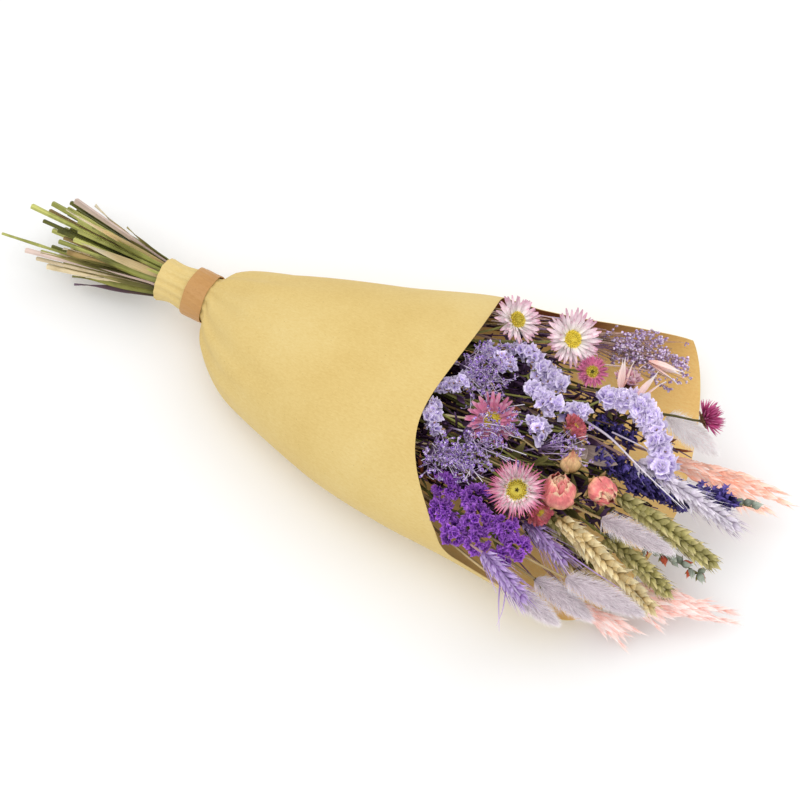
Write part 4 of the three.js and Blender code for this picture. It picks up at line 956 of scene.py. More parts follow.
def add_ear(node, base, tip, width, finish, stem, awn, fullness):
    """An ear with husks in ranks: awn is its awns' length, and fullness makes its husks wider."""
    rng, sheaf, line = start_head(node, base, tip, stem)
    scale = width / FULL_EAR_WIDTH
    count = int(line_length(line) / HUSK_PITCH)
    shares = (np.arange(count) + 0.4) / count
    spots = along_line(line, shares * 0.94)
    ways = unit(along_line(directions(line), shares))
    side = unit(np.cross(UP, ways))
    normal = unit(np.cross(ways, side))
    zigzag = np.where(np.arange(count) % 2 == 0, 1, -1)
    sheaf.add(tube(line, 1.0, sides=6), finish, 0.3)
    size = 0.72 + 0.34 * np.sin(math.pi * np.clip(shares * 0.92 + 0.1, 0, 1)) ** 0.7
    for rank, (lift, splay) in enumerate(HUSK_RANKS):
        for hand in (-1, 1):
            sign = hand * zigzag if rank else np.full(count, hand)
            out = unit(side * sign[:, None] + normal * lift)
            lean = np.radians(splay + rng.normal(0, 12, count))[:, None]
            way = unit(ways * np.cos(lean) + out * np.sin(lean))
            root = spots + out * 1.1 + ways * (HUSK_PITCH / 2 if hand > 0 else 0)
            half = scale * HUSK_HALF * size * fullness * rng.uniform(0.85, 1.12, count)
            long = scale * HUSK_LENGTH * size * rng.uniform(0.85, 1.15, count)
            tones = rng.uniform(size=count)
            sheaf.stamp(HUSK, finish, root, way, out + 0.3 * ways, triples(half, half, long), tones)
            reach = awn * rng.uniform(0.6, 1.1, count)
            fall = -0.1 * UP * rng.uniform(size=(count, 1))
            awn_ways = unit(ways * 0.9 + way * 0.6 + rng.normal(0, 0.09, (count, 3)) + fall)
            sheaf.stamp(AWN, finish, root + way * long[:, None] * 0.9, awn_ways, UP,
                        triples(AWN_HALF, AWN_HALF, reach), 0.8)
    sheaf.stamp(HUSK, finish, line[-3], directions(line)[-1], UP, [scale * 2.2, scale * 2.2, scale * 9], 0.6)
    return sheaf


# %% [markdown]
# ## Bunny tails
# A bunny tail is a soft oval head: a small core that can't be seen through a coat of hairs. The
# hairs are real geometry, each a bent three-sided sliver, because their tips make the fuzzy
# outline. They lean towards the tip of the tail, more so near its end.

# %% Bunny tails
SOFT_HAIR = hair(6.0)
HAIR_HALF = 0.19
OVAL = husk([0.2, 0.62, 0.88, 1.0, 0.98, 0.86, 0.62, 0.12], sides=14)
TAIL_PROFILE = [0.3, 0.66, 0.88, 1.0, 0.98, 0.86, 0.62, 0.12]
TAIL_HAIRS = 1650
COAT_DEPTH = 3.6
ROOT_LEAN, LEAN_LOSS = 62, 50
LONGEST_HAIR, HAIR_LOSS = 8.2, 1.2


def add_tail(node, base, tip, width, finish, slot):
    """A bunny tail: its core, and hairs whose roots lie on the core in a spiral."""
    rng, sheaf, line = start_head(node, base, tip, "straw stem")
    way = unit(line[-1] - line[0])
    length = np.linalg.norm(line[-1] - line[0])
    core = width / 2 - COAT_DEPTH
    sheaf.stamp(OVAL, finish, line[0] + way * 2, way, UP, [core, core, length - 8], 0.3)
    k = np.arange(TAIL_HAIRS)
    place = ((k + 0.5) / TAIL_HAIRS) ** 0.9
    profile = np.interp(place, np.linspace(0, 1, len(TAIL_PROFILE)), TAIL_PROFILE)
    turns = GOLDEN_TURN * k + rng.normal(0, 0.4, TAIL_HAIRS)
    out = leaning(way, QUARTER_TURN, turns)
    roots = along_line(line, 0.03 + 0.87 * place) + out * (core * profile)[:, None]
    lean = np.radians(ROOT_LEAN - LEAN_LOSS * place ** 1.3)[:, None]
    ways = unit(way * np.cos(lean) + out * np.sin(lean) + rng.normal(0, 0.2, (TAIL_HAIRS, 3)))
    lengths = (LONGEST_HAIR - HAIR_LOSS * place) * rng.uniform(0.7, 1.12, TAIL_HAIRS)
    scales = triples(HAIR_HALF, HAIR_HALF, lengths)
    sheaf.stamp(SOFT_HAIR, finish, roots, ways, way, scales, rng.uniform(size=TAIL_HAIRS))
    sheaf.build(f"{node}_fur", slot, node)


# %% [markdown]
# ## Statice
# Statice keeps its papery cups for years. The pale one carries them in combs along its branches,
# all facing up and out, with brown scraps of dried bloom between. The violet one is so crowded
# that its cups make a ruffled crust.

# %% Statice
PAPER_CUPS = [cup(seed, ruffle=0.3, wave=0.3) for seed in range(5)]
CUPS_PER_MM = 2.4
CUP_HALF = 0.56
CUP_LEAN = math.radians(52)


def add_pale_statice(node, base, branches, size):
    """Papery cups crowded along a few branches, all facing up and a little to the viewer."""
    base = np.asarray(base, float)
    rng, sheaf, line = start_plant(node, base, branches[0][0] - base, "green stem")
    upward = unit(UP + 0.35 * np.asarray(VIEW_BACK))
    for branch in branches:
        sheaf.twig([line[-1], *branch], 16, 0.9, 5, "green stem", 0.4)
        count = int(line_length(branch) * CUPS_PER_MM)
        spots = along_line(branch, rng.uniform(0, 1, count))
        leans = np.abs(rng.normal(0, CUP_LEAN, count))
        ways = leaning(upward, leans, rng.uniform(0, 2 * math.pi, count))
        roots = spots + ways * rng.uniform(-1.0, 3.6, (count, 1)) - UP * 3
        widths = size * CUP_HALF * rng.uniform(0.7, 1.25, count)
        flat = rng.uniform(0.35, 0.85, count)
        scales = triples(widths, widths * flat, widths * rng.uniform(1.0, 1.4, count))
        fronts = rng.normal(0, 1, (count, 3))
        tones = rng.uniform(size=count)
        for k, paper_cup in enumerate(PAPER_CUPS):
            some = np.arange(k, count, len(PAPER_CUPS))
            sheaf.stamp(paper_cup, "lavender cup", roots[some], ways[some], fronts[some], scales[some],
                        tones[some])
        bits = rng.choice(count, count // 3, replace=False)
        bit_ways = unit(ways[bits] + rng.normal(0, 0.3, (len(bits), 3)))
        sheaf.stamp(FLORET, "calyx", roots[bits] + ways[bits] * 1.5, bit_ways, UP, [0.7, 0.7, 4.6],
                    rng.uniform(size=len(bits)))
    sheaf.build(f"{node}_cups", "lavender_florets", node)


# %% Violet statice
RUFFLED_CUPS = [cup(seed, ruffle=0.5, wave=0.55, sides=12, rows=3) for seed in (9, 10, 11)]
CLUMPS = 7
CLUMP_CUPS = 11
CLUMP_REACH, CLUMP_CUP_HALF = 0.48, 0.2


def add_violet_statice(node, base, lobes):
    """A crust of ruffled cups; each of its lobes is (x, y, z, size)."""
    base = np.asarray(base, float)
    rng, sheaf, line = start_plant(node, base, lobes[0][:3] - base, "green stem")
    for x, y, z, size in lobes:
        middle = np.array([x, y, z], float)
        sheaf.twig([line[-1], middle], 6, 0.9, 5, "green stem", 0.3, rounds=0)
        heights = 1 - 1.2 * (np.arange(CLUMPS) + 0.5) / CLUMPS
        turns = GOLDEN_TURN * np.arange(CLUMPS) + rng.uniform(0, 6)
        flat = np.sqrt(1 - heights ** 2)
        aims = triples(flat * np.cos(turns), flat * np.sin(turns), heights)
        clumps = middle + aims * (size * CLUMP_REACH) * rng.uniform(0.75, 1.1, (CLUMPS, 1))
        for clump, aim in zip(clumps, aims):
            ways = unit(aim + rng.normal(0, 0.6, (CLUMP_CUPS, 3)))
            roots = clump + ways * size * rng.uniform(0.0, 0.16, (CLUMP_CUPS, 1))
            widths = size * CLUMP_CUP_HALF * rng.uniform(0.75, 1.3, CLUMP_CUPS)
            scales = triples(widths, widths * rng.uniform(0.5, 1, CLUMP_CUPS), widths * 1.5)
            ruffled_cup = RUFFLED_CUPS[rng.integers(len(RUFFLED_CUPS))]
            fronts = rng.normal(0, 1, (CLUMP_CUPS, 3))
            sheaf.stamp(ruffled_cup, "violet cup", roots, ways, fronts, scales, rng.uniform(size=CLUMP_CUPS))
    sheaf.build(f"{node}_crust", "violet_florets", node)


# %% [markdown]
# ## Sea lavender
# Sea lavender is a cloud of hair-thin twigs that fork twice from the stem's end, with tiny florets
# crowded towards the end of each last shoot. Because they are so open, what is seen is mostly the
# dark of the bouquet's inside, with a mist of dots in front.

# %% Sea lavender
SMALL_CALYX = husk([0.3, 0.7, 1.0], sides=4)
SMALL_BLOOM = husk([0.5, 1.0, 0.5], sides=4)
SPRAY_REACH = np.array([1.75, 1.5, 1.2])
FORK_SHARE = 0.3
CALYX_SIZE = [0.6, 0.6, 1.9]
BLOOM_SIZE = [0.55, 0.55, 1.2]


def add_spray(node, base, heart, spread, twigs=25, shoots=5):
    """A spray whose twigs end round its heart, as far out each way as its spread says."""
    base, heart, spread = (np.asarray(values, float) for values in (base, heart, spread))
    rng, sheaf, line = start_plant(node, base, heart - base, "brown stem")
    fork = line[-1] + (heart - line[-1]) * FORK_SHARE
    sheaf.add(tube([line[-1], fork], 0.7, sides=5), "lilac twig", 0.3)
    for _ in range(twigs):
        offset = unit(rng.normal(0, 1, 3)) * rng.uniform(0.35, 1.0)
        offset[2] = abs(offset[2]) * 1.1 - 0.35
        end = heart + offset * spread * SPRAY_REACH
        middle = fork + (end - fork) * 0.5 + rng.normal(0, 5.0, 3) + [0, 0, 3]
        radii = np.linspace(0.46, 0.24, 9)
        twig = sheaf.twig([fork, middle, end], 9, radii, 4, "lilac twig", rng.uniform())
        for share in rng.uniform(0.4, 1.0, shoots):
            start = along_line(twig, [share])[0]
            side = unit(rng.normal(0, 1, 3) + [0.6, 0, 0.6]) * rng.uniform(4, 10)
            middle = start + side * 0.5 + rng.normal(0, 0.9, 3)
            shoot = sheaf.twig([start, middle, start + side], 5, 0.22, 3, "lilac twig", rng.uniform())
            add_mist(sheaf, shoot, rng.integers(1, 5), rng)
    sheaf.build(f"{node}_mist", "sea_lavender", node)


def add_mist(sheaf, line, count, rng):
    """Tiny florets crowded towards the end of a shoot, each a pale calyx with a violet bloom."""
    spots = along_line(line, 1 - 0.6 * rng.uniform(0, 1, count) ** 1.5)
    ways = unit(directions(line)[-1] * 0.5 + UP * 0.5 + rng.normal(0, 0.6, (count, 3)))
    sizes = rng.uniform(0.8, 1.65, (count, 1))
    tones = rng.uniform(size=count)
    sheaf.stamp(SMALL_CALYX, "mist calyx", spots, ways, UP, sizes * CALYX_SIZE, tones)
    sheaf.stamp(SMALL_BLOOM, "mist bloom", spots + ways * sizes * 1.6, ways, UP, sizes * BLOOM_SIZE, tones)


# %% [markdown]
# ## Larkspur
# A larkspur spike dries to a string of ragged navy florets. Each floret is a few crumpled petals
# round a pale throat, and the thin end of the spike is still in bud.

# %% Larkspur
CRUMPLED = blade([0.3, 0.85, 1.0, 0.9, 0.5], rows=4, bend=0.6, cup=0.1, thick=0.05, teeth=0.1, wave=0.26)
FLORET_PITCH = 1.9
FLORET_PETALS = 7
FLORET_LEAN = math.radians(68)
FLORET_HALF, FLORET_LENGTH = 0.25, 0.66
THROATS = 0.35
THROAT_SIZE = [0.8, 0.8, 3.6]
CLOSED_BUD_SIZE = [3.2, 3.2, 8.5]


def add_larkspur(node, base, tip, size, buds=0.0):
    """A spike of florets; buds is the share at its tip that hasn't opened."""
    rng, sheaf, line = start_head(node, base, tip, "green stem")
    sheaf.add(tube(line, np.linspace(0.9, 0.5, len(line)), sides=6), "green stem", 0.4)
    count = int(np.linalg.norm(np.subtract(tip, base)) / FLORET_PITCH)
    shares = (np.arange(count) + 0.3) / count
    spots = along_line(line, shares)
    axes = unit(along_line(directions(line), shares))
    out = leaning(axes, FLORET_LEAN, GOLDEN_TURN * np.arange(count))
    opened = shares < 1 - buds
    open_count = opened.sum()
    slimmer = 1 - 0.3 * shares[opened] * (buds > 0)
    for _ in range(FLORET_PETALS):
        ways = unit(out[opened] + rng.normal(0, 0.7, (open_count, 3)))
        half = size * FLORET_HALF * rng.uniform(0.6, 1.4, open_count) * slimmer
        long = size * FLORET_LENGTH * rng.uniform(0.7, 1.25, open_count)
        sheaf.stamp(CRUMPLED, "navy petal", spots[opened] + out[opened] * 1.2, ways, axes[opened],
                    triples(half, long, long), rng.uniform(size=open_count))
    throat = opened & (rng.uniform(size=count) < THROATS)
    sheaf.stamp(FLORET, "green husk", spots[throat] + out[throat] * 1.5, out[throat], UP, THROAT_SIZE, 0.7)
    closed = ~opened & (np.arange(count) % 3 == 0)
    bud_ways = unit(out[closed] + axes[closed] * 1.2)
    sheaf.stamp(HUSK, "silver bud", spots[closed] + out[closed] * 0.8, bud_ways, UP, CLOSED_BUD_SIZE,
                rng.uniform(size=closed.sum()))
    sheaf.build(f"{node}_spike", "larkspur_petals", node)


# %% [markdown]
# ## Peach plumes
# The peach heads are dyed canary grass or panicum. Each is a loose fan of soft strands, and each
# strand is a row of overlapping scales that bleach to nearly white at its end. Hair would need
# many times the triangles, and the scales give the same soft, combed look.

# %% Plumes
PLUME_FLOOR = 9.0
SCALE = blade([0.3, 0.9, 1.0, 0.7, 0.35, 0.03], rows=4, bend=-0.2, cup=-0.05, thick=0.03)
SCALE_PITCH = 2.6
SCALE_LENGTH = 13.0
STRAND_FAN = np.array([0.35, 0.28, 0.12])
STRAND_BULGE = np.array([0, 0.3, 0.2])
WHISKERS = 0.25
WHISKER_SIZE = [0.16, 0.16, 9]


def add_plume(node, base, tips, width, finish, strands=11, spread=1.0, plump=2.7):
    """A plume that fans from its base to a few tips, each strand a row of overlapping scales."""
    tips = np.array(tips, float)
    rng, sheaf, line = start_head(node, base, tips[0], "pink stem")
    for strand in range(strands):
        tip = tips[strand % len(tips)] + rng.normal(0, 1, 3) * STRAND_FAN * width * spread
        tip[2] = max(tip[2], PLUME_FLOOR)
        reach = rng.uniform(0.7, 1.0) if strand else 1.0
        bulge = rng.normal(0, 1, 3) * STRAND_BULGE * width * spread + [0, 0, 2]
        start = line[0] - directions(line)[0] * 6
        path = smooth_line([start, (line[0] + tip) / 2 + bulge, line[0] + (tip - line[0]) * reach], 17, 2)
        count = int(np.linalg.norm(path[-1] - path[0]) / SCALE_PITCH)
        shares = np.linspace(0.04, 0.98, count)
        axes = unit(along_line(directions(path), shares))
        spots = along_line(path, shares)
        out = leaning(axes, QUARTER_TURN, rng.uniform(0, 6) + 2.4 * np.arange(count))
        swell = np.sin(math.pi * np.clip(0.2 + 0.75 * shares, 0, 1)) ** 0.6
        ways = unit(axes + out * 0.26 + rng.normal(0, 0.06, (count, 3)))
        long = SCALE_LENGTH * (0.7 + 0.4 * swell) * rng.uniform(0.85, 1.2, count)
        scales = triples(plump * swell * rng.uniform(0.8, 1.2, count), long, long)
        tones = np.clip(0.2 + 0.7 * shares + rng.normal(0, 0.15, count), 0, 1)
        sheaf.stamp(SCALE, finish, spots, ways, out, scales, tones)
        some = rng.uniform(size=count) < WHISKERS
        sheaf.stamp(AWN, finish, spots[some] + ways[some] * 6, ways[some], UP, WHISKER_SIZE, 0.9)
    sheaf.build(f"{node}_plume", "peach_plume", node)


# %% [markdown]
# ## Broom
# The pinkish broom at the far side is a bundle of hair-thin stalks. They run side by side and
# break into crowds of lilac beads, which are its dried flower heads.

# %% Broom
BROOM_LOWER = 46
BROOM_STALKS = 18
BROOM_SPRIGS = 6
SPRIG_BEADS = 3
BEAD = husk([0.6, 1.0, 0.55], sides=5)
BEAD_SIZE = [0.8, 0.8, 1.9]


def add_broom(node, base, ends):
    """Leafless stalks low in the wrap, then finer ones that run to each end with their beads."""
    base = np.asarray(base, float)
    ends = np.array(ends, float)
    rng, sheaf, line = start_plant(node, base, ends[0] - base, "pink stem")
    for _ in range(BROOM_LOWER):
        root = base + [rng.uniform(-62, -40), rng.uniform(-22, -4), rng.uniform(-4, 6)]
        tip = base + [rng.uniform(0, 40), rng.uniform(-12, 16), rng.uniform(0, 7)]
        middle = (root + tip) / 2 + rng.normal(0, 2, 3) + UP * 2
        # Painted shade, in part: some low stalks are dark plum.
        finish = rng.choice(["pink stem", "brown stem", "lilac twig", "plum shade"])
        sheaf.twig([root, middle, tip], 9, np.linspace(0.6, 0.3, 9), 3, finish, rng.uniform())
    for end in ends:
        for _ in range(BROOM_STALKS):
            tip = end + rng.normal(0, 1, 3) * [8, 5, 3.5] - [5, 0, 0]
            middle = (base + tip) / 2 + rng.normal(0, 2.4, 3) + [0, 0, 3]
            radii = np.linspace(0.4, 0.2, 9)
            stalk = sheaf.twig([line[-1], middle, tip], 9, radii, 3, "pink stem", rng.uniform())
            for share in rng.uniform(0.42, 1.0, BROOM_SPRIGS):
                start = along_line(stalk, [share])[0]
                sprig = unit(tip - base + rng.normal(0, 45, 3)) * rng.uniform(3, 7)
                sheaf.add(tube([start, start + sprig], 0.15, sides=3), "pink stem", 0.5)
                spots = start + sprig * rng.uniform(0.4, 1.1, (SPRIG_BEADS, 1))
                spots = spots + rng.normal(0, 0.7, (SPRIG_BEADS, 3))
                ways = rng.normal(0, 1, (SPRIG_BEADS, 3)) + AHEAD
                scales = rng.uniform(0.8, 1.4, (SPRIG_BEADS, 1)) * BEAD_SIZE
                sheaf.stamp(BEAD, "bead", spots, ways, UP, scales, rng.uniform(size=SPRIG_BEADS))
    sheaf.build(f"{node}_bundle", "broom_twigs", node)


# %% [markdown]
# ## Oats, buds and leaves
# These stems carry a few large parts each. The oat's husks are long pale leaves folded round an
# awn. The buds are ribbed, grey and hard, and the leaves have dried with a twist.

# %% Sprigs on a stem
LONG_HUSK = blade([0.25, 0.8, 1.0, 0.9, 0.55, 0.2, 0.03], rows=7, bend=-0.2, cup=-0.07, thick=0.025)
TWISTED_LEAF = blade([0.2, 0.75, 1.0, 0.85, 0.5, 0.06], rows=8, bend=0.7, cup=0.06, thick=0.014, wave=0.03)
HUSK_TURNS = (0.3, 2.4, 4.3)
BUDS_IN_SPRIG = 4
SILVER_BUDS = 0.75


def sprig_places(line, sprigs):
    """Where each sprig starts and points; a sprig is (share, lean, turn, size)."""
    ways = directions(line)
    for share, lean, turn, size in sprigs:
        spot = along_line(line, [share])[0]
        axis = unit(along_line(ways, [share])[0])
        yield spot, leaning(axis, math.radians(lean), math.radians(turn))[0], size


def add_oat(node, base, tip, spikelets):
    """Oats: each spikelet is (root, tip), three long husks folded round an awn."""
    rng, sheaf, line = start_head(node, base, tip, "pink stem")
    sheaf.add(tube(line, np.linspace(0.7, 0.35, len(line)), sides=6), "pink stem", 0.6)
    for root, end in np.array(spikelets, float):
        way = unit(end - root)
        size = np.linalg.norm(end - root)
        stalk = line[np.argmin(np.linalg.norm(line - root + way * 8, axis=1))]
        sheaf.twig([stalk, (stalk + root) / 2 + UP * 2, root + way], 8, 0.3, 4, "pink stem", 0.8)
        for turn in HUSK_TURNS:
            front = leaning(way, QUARTER_TURN, turn)[0]
            lean = leaning(way, 0.1, turn + math.pi)[0]
            sheaf.stamp(LONG_HUSK, "oat husk", root - way, lean, front, [3.0, size, size], rng.uniform())
        sheaf.stamp(AWN, "oat husk", root + way * size * 0.8, way + rng.normal(0, 0.1, 3), UP,
                    [0.2, 0.2, size * 0.35], 0.8)
    sheaf.build(f"{node}_husks", "oat_husk", node)


def add_buds(node, base, tip, sprigs):
    """Clusters of ribbed buds along a stem, each bud with a small leaf."""
    rng, sheaf, line = start_head(node, base, tip, "green stem")
    sheaf.add(tube(line, np.linspace(0.8, 0.5, len(line)), sides=6), "green stem", 0.3)
    for spot, way, size in sprig_places(line, sprigs):
        for _ in range(BUDS_IN_SPRIG):
            lean = unit(way + rng.normal(0, 0.45, 3))
            finish = "silver bud" if rng.uniform() < SILVER_BUDS else "orange bud"
            sheaf.stamp(HUSK, finish, spot, lean, UP, [size * 0.34, size * 0.34, size * 1.05], rng.uniform())
            sheaf.stamp(BRACT, "green leaf", spot, lean + rng.normal(0, 0.5, 3), UP,
                        [0.9, size * 0.8, size * 0.8], rng.uniform())
    sheaf.build(f"{node}_buds", "grey_buds", node)


def add_leaves(node, base, tip, sprigs, half, slot, leaf):
    """Twisted leaves along a stem; half is half a leaf's width."""
    rng, sheaf, line = start_head(node, base, tip, "green stem")
    sheaf.add(tube(line, 0.8, sides=6), "green stem", 0.4)
    for spot, way, size in sprig_places(line, sprigs):
        sheaf.stamp(TWISTED_LEAF, leaf, spot, way, UP, [half, size, size], rng.uniform())
    sheaf.build(f"{node}_leaves", slot, node)


# %% [markdown]
# ## Planting the bouquet
# The numbers here are the bouquet's layout: where each head sits, which way it faces and how big
# it is. They follow the solids. A few heads differ a little from them in size or tilt, where the
# fine shapes looked better for it.

# %% Daisies in place
TO_VIEWER = np.array([0.21, -0.4, 0.89])
OPEN_PALE = [(26, 84, 1.02, 1.45), (24, 74, 0.98, 1.45), (20, 58, 0.74, 1.2)]
OPEN_PINK = [(38, 88, 1.02, 1.05), (36, 79, 0.96, 1.0), (34, 68, 0.82, 1.0), (28, 50, 0.62, 0.95)]
RAGGED = [(30, 82, 1.0, 1.0), (26, 60, 1.02, 1.0), (22, 36, 1.0, 0.95), (16, 16, 0.92, 0.9)]
BROAD = [(23, 82, 1.05, 1.5), (20, 64, 0.92, 1.5), (16, 42, 0.72, 1.4)]
CUPPED = [(24, 62, 1.05, 1.6), (22, 46, 1.0, 1.6), (20, 32, 0.95, 1.5), (14, 20, 0.85, 1.3)]
DAISIES = [
    ("daisy_pale_mouth", [225, 60, 97], [0.5, 0.1, 0.86], 18, 5.5, STRAP, "pale petal", OPEN_PALE,
     "olive disc", "pale_petals", 0.0),
    ("daisy_pale_large", [266, 64, 97], [0.45, -0.15, 0.85], 21, 6, STRAP, "pale petal", OPEN_PALE,
     "yellow disc", "pale_petals", 0.0),
    ("daisy_small", [288, 50, 92], TO_VIEWER, 12, 4.2, POINTED, "vivid petal", OPEN_PINK,
     "olive disc", "pink_petals", 0.9),
    ("daisy_among_sprays", [243, -15, 90.5], [0.2, -0.45, 0.8], 18, 6, NOTCHED, "faded petal", BROAD,
     "yellow disc", "pink_petals", 0.6),
    ("daisy_front", [282, -55, 92], TO_VIEWER, 21, 8, POINTED, "pink petal", OPEN_PINK,
     "olive disc", "pink_petals", 1.0),
    ("daisy_salmon", [295, 7, 87], [0.5, 0.34, 0.6], 11, 4, NOTCHED, "salmon petal", CUPPED,
     "yellow disc", "salmon_petals", 0.0),
    ("daisy_upright", [311, 62, 80], [-0.1, 0.5, 0.8], 11, 4, STRAP, "rosy petal", CUPPED,
     "yellow disc", "pink_petals", 0.0),
    ("daisy_magenta", [371.5, 68, 67], [0.6, 0.5, 0.4], 15, 4.5, POINTED, "magenta petal", RAGGED,
     "olive disc", "magenta_petals", 0.0),
    ("daisy_behind", [299, -54, 73], [0.72, -0.3, 0.4], 12, 4.5, NOTCHED, "salmon petal", CUPPED,
     "yellow disc", "salmon_petals", 0.0),
]
for daisy in DAISIES:
    add_daisy(*daisy)

# %% Roses in place
add_rose("rose_large", [309, -43, 76], [-0.12, 0.2, 0.85], 13.8, "rose petal", petals=12, closed=0.35)
add_rose("rose_medium", [325, -18, 74], [0.6, -0.45, 0.55], 12.0, "rose petal", petals=11, closed=0.6)
add_rose("rose_bud", [305, -17, 74], [-0.1, 0.3, 0.9], 9.6, "yellow rose petal", petals=9, closed=1.0)

# %% Ears in place
EARS = [
    ("wheat_straw_long", [312, -49, 66], [397, -75, 50], 18, "straw husk", 5, "straw_ear"),
    ("wheat_straw_short", [318, -66, 43], [365, -71, 36], 17, "straw husk", 5, "straw_ear"),
    ("wheat_green_short", [303, -45, 50], [345, -58, 44], 18, "green husk", 5, "green_ear"),
    ("wheat_green_middle", [345, -38, 46], [400, -53, 38], 15.5, "green husk", 5, "green_ear"),
    ("wheat_green_long", [340, -12, 58], [420, -23, 48], 17.5, "green husk", 5, "green_ear"),
    ("lilac_wheat_near", [280, -100, 76], [318, -117, 75], 15, "lilac husk", 13, "lilac_ear"),
    ("lilac_wheat_middle", [292, -60, 61], [329, -74, 60], 13, "lilac husk", 18, "lilac_ear"),
    ("lilac_wheat_long", [340, 13, 68], [424, 3, 61], 17, "silver husk", 12, "lilac_ear"),
]
LOOSE_BLADES = {
    "lilac_wheat_near": [
        ([[297, -107, 77], [303, -121, 62], [311, -134.5, 46]], 0.8),
        ([[303, -109, 77], [308, -124, 58], [308, -132.5, 48]], 0.7),
        ([[276, -97, 74], [286, -108, 76], [300, -119, 68]], 0.9),
    ],
    "lilac_wheat_middle": [
        ([[318, -68, 66], [350, -72, 62], [385, -74, 56]], 0.7),
        ([[300, -62, 67], [318, -72, 69], [338, -84, 66]], 0.7),
    ],
    "lilac_wheat_long": [
        ([[290, 24, 72], [318, 17, 79], [350, 4, 78], [385, -4, 68]], 1.1),
        ([[318, 22, 76], [345, 20, 80], [372, 6, 76]], 0.7),
    ],
}
STEMS_OF_HUSKS = {"green husk": "green stem", "straw husk": "straw stem"}
WHEAT_FULLNESS, LILAC_FULLNESS = 0.95, 0.62
for node, base, tip, width, finish, awn, slot in EARS:
    fullness = LILAC_FULLNESS if slot == "lilac_ear" else WHEAT_FULLNESS
    ear = add_ear(node, base, tip, width, finish, STEMS_OF_HUSKS.get(finish, "pink stem"), awn, fullness)
    for blade_points, radius in LOOSE_BLADES.get(node, []):
        ear.twig(blade_points, 24, radius * np.linspace(1, 0.25, 24), 5, finish, 0.8, rounds=4)
    ear.build(f"{node}_husks", slot, node)

# %% Tails in place
TAILS = [
    ("bunny_tail_mauve", [337, -37, 68], [394, -37, 66], 15.5, "mauve hair", "grey_tail"),
    ("bunny_tail_near", [334, -86, 64], [395, -83, 57], 17, "mauve hair", "grey_tail"),
    ("bunny_tail_low", [315, -91, 51], [363, -97, 43], 16.5, "mauve hair", "grey_tail"),
    ("bunny_tail_outer", [304, -108, 57], [345, -115, 55], 15, "mauve hair", "white_tail"),
    ("bunny_tail_far", [342, 62, 54], [388, 53, 50], 18, "white hair", "white_tail"),
]
for tail in TAILS:
    add_tail(*tail)

# %% Statice in place
PALE_STATICES = {
    "statice_mouth": ([186, -10, 78], [
        [[198, -6, 81], [205, 0, 85], [214, 6, 86]],
        [[200, -18, 80], [203, -28, 84], [210, -36, 84]],
    ]),
    "statice_far": ([206, 40, 76], [
        [[214, 36, 84], [224, 32, 87], [236, 30, 87]],
        [[226, 46, 80], [238, 48, 83], [248, 44, 84]],
    ]),
    "statice_middle": ([246, 34, 74], [
        [[252, 40, 83], [263, 38, 88], [273, 32, 86]],
        [[256, 24, 82], [267, 18, 87], [276, 16, 86]],
    ]),
    "statice_centre": ([260, 4, 72], [
        [[267, 2, 82], [274, -4, 86], [281, -10, 86]],
        [[284, 20, 80], [291, 24, 85], [298, 24, 85]],
    ]),
    "statice_branch": ([294, 34, 72], [
        [[302, 40, 80], [314, 45, 84], [328, 46, 84], [341, 39, 82], [350, 29, 80], [357, 19, 77],
         [361, 12, 75]],
    ]),
}
CUP_SIZES = {"statice_branch": 10.2, "statice_middle": 8.0, "statice_far": 6.0, "statice_mouth": 6.6}
for node, (base, branches) in PALE_STATICES.items():
    add_pale_statice(node, base, branches, size=CUP_SIZES.get(node, 7.0))

VIOLET_STATICES = {
    "violet_statice_mouth": ([222, -70, 56], [[236, -66, 70, 12], [240, -84, 68, 11], [255, -93, 66, 11]]),
    "violet_statice_middle": ([248, -74, 56], [[257, -66, 76, 11], [266, -80, 74, 12], [272, -92, 66, 10]]),
    "violet_statice_front": ([274, -76, 54], [[285, -76, 72, 11], [298, -84, 70, 11], [290, -92, 62, 9]]),
}
for node, (base, lobes) in VIOLET_STATICES.items():
    add_violet_statice(node, base, lobes)

# %% Sea lavender, larkspur, plumes and broom in place
add_spray("sea_lavender_mouth", [190, 18, 74], [226, 18, 88], [16, 26, 8])
add_spray("sea_lavender_middle", [215, -26, 72], [254, -28, 92], [16, 26, 10])
add_spray("sea_lavender_near", [204, -47, 70], [234, -52, 86], [14, 20, 8])
add_spray("sea_lavender_tip", [268, -18, 70], [300, -2, 88], [11, 12, 6], twigs=11, shoots=4)
add_larkspur("larkspur_far", [300, 31, 60], [332, 30, 64], 8.5)
add_larkspur("larkspur_near", [312, 6, 64], [384, 4, 59], 11)
add_larkspur("larkspur_long", [340, 4, 52], [430, 25, 58], 13.5, buds=0.24)
add_plume("pink_panicle_far", [362, 41, 40], [[441, 50, 36], [436, 36, 26], [404, 36, 36]], 22,
          "peach husk", strands=14, spread=0.62, plump=3.2)
add_plume("pink_panicle_near", [366, -60, 32], [[443, -39, 21], [432, -45, 18], [406, -62, 14]], 16,
          "rosy husk", strands=17)
add_plume("pink_panicle_low", [345, -84, 26], [[391, -84, 14], [379, -88, 12]], 13, "rosy husk", spread=0.7)
add_broom("broom", [255, 86, 56], [[320, 110, 58], [339, 103, 57], [331, 91, 56]])

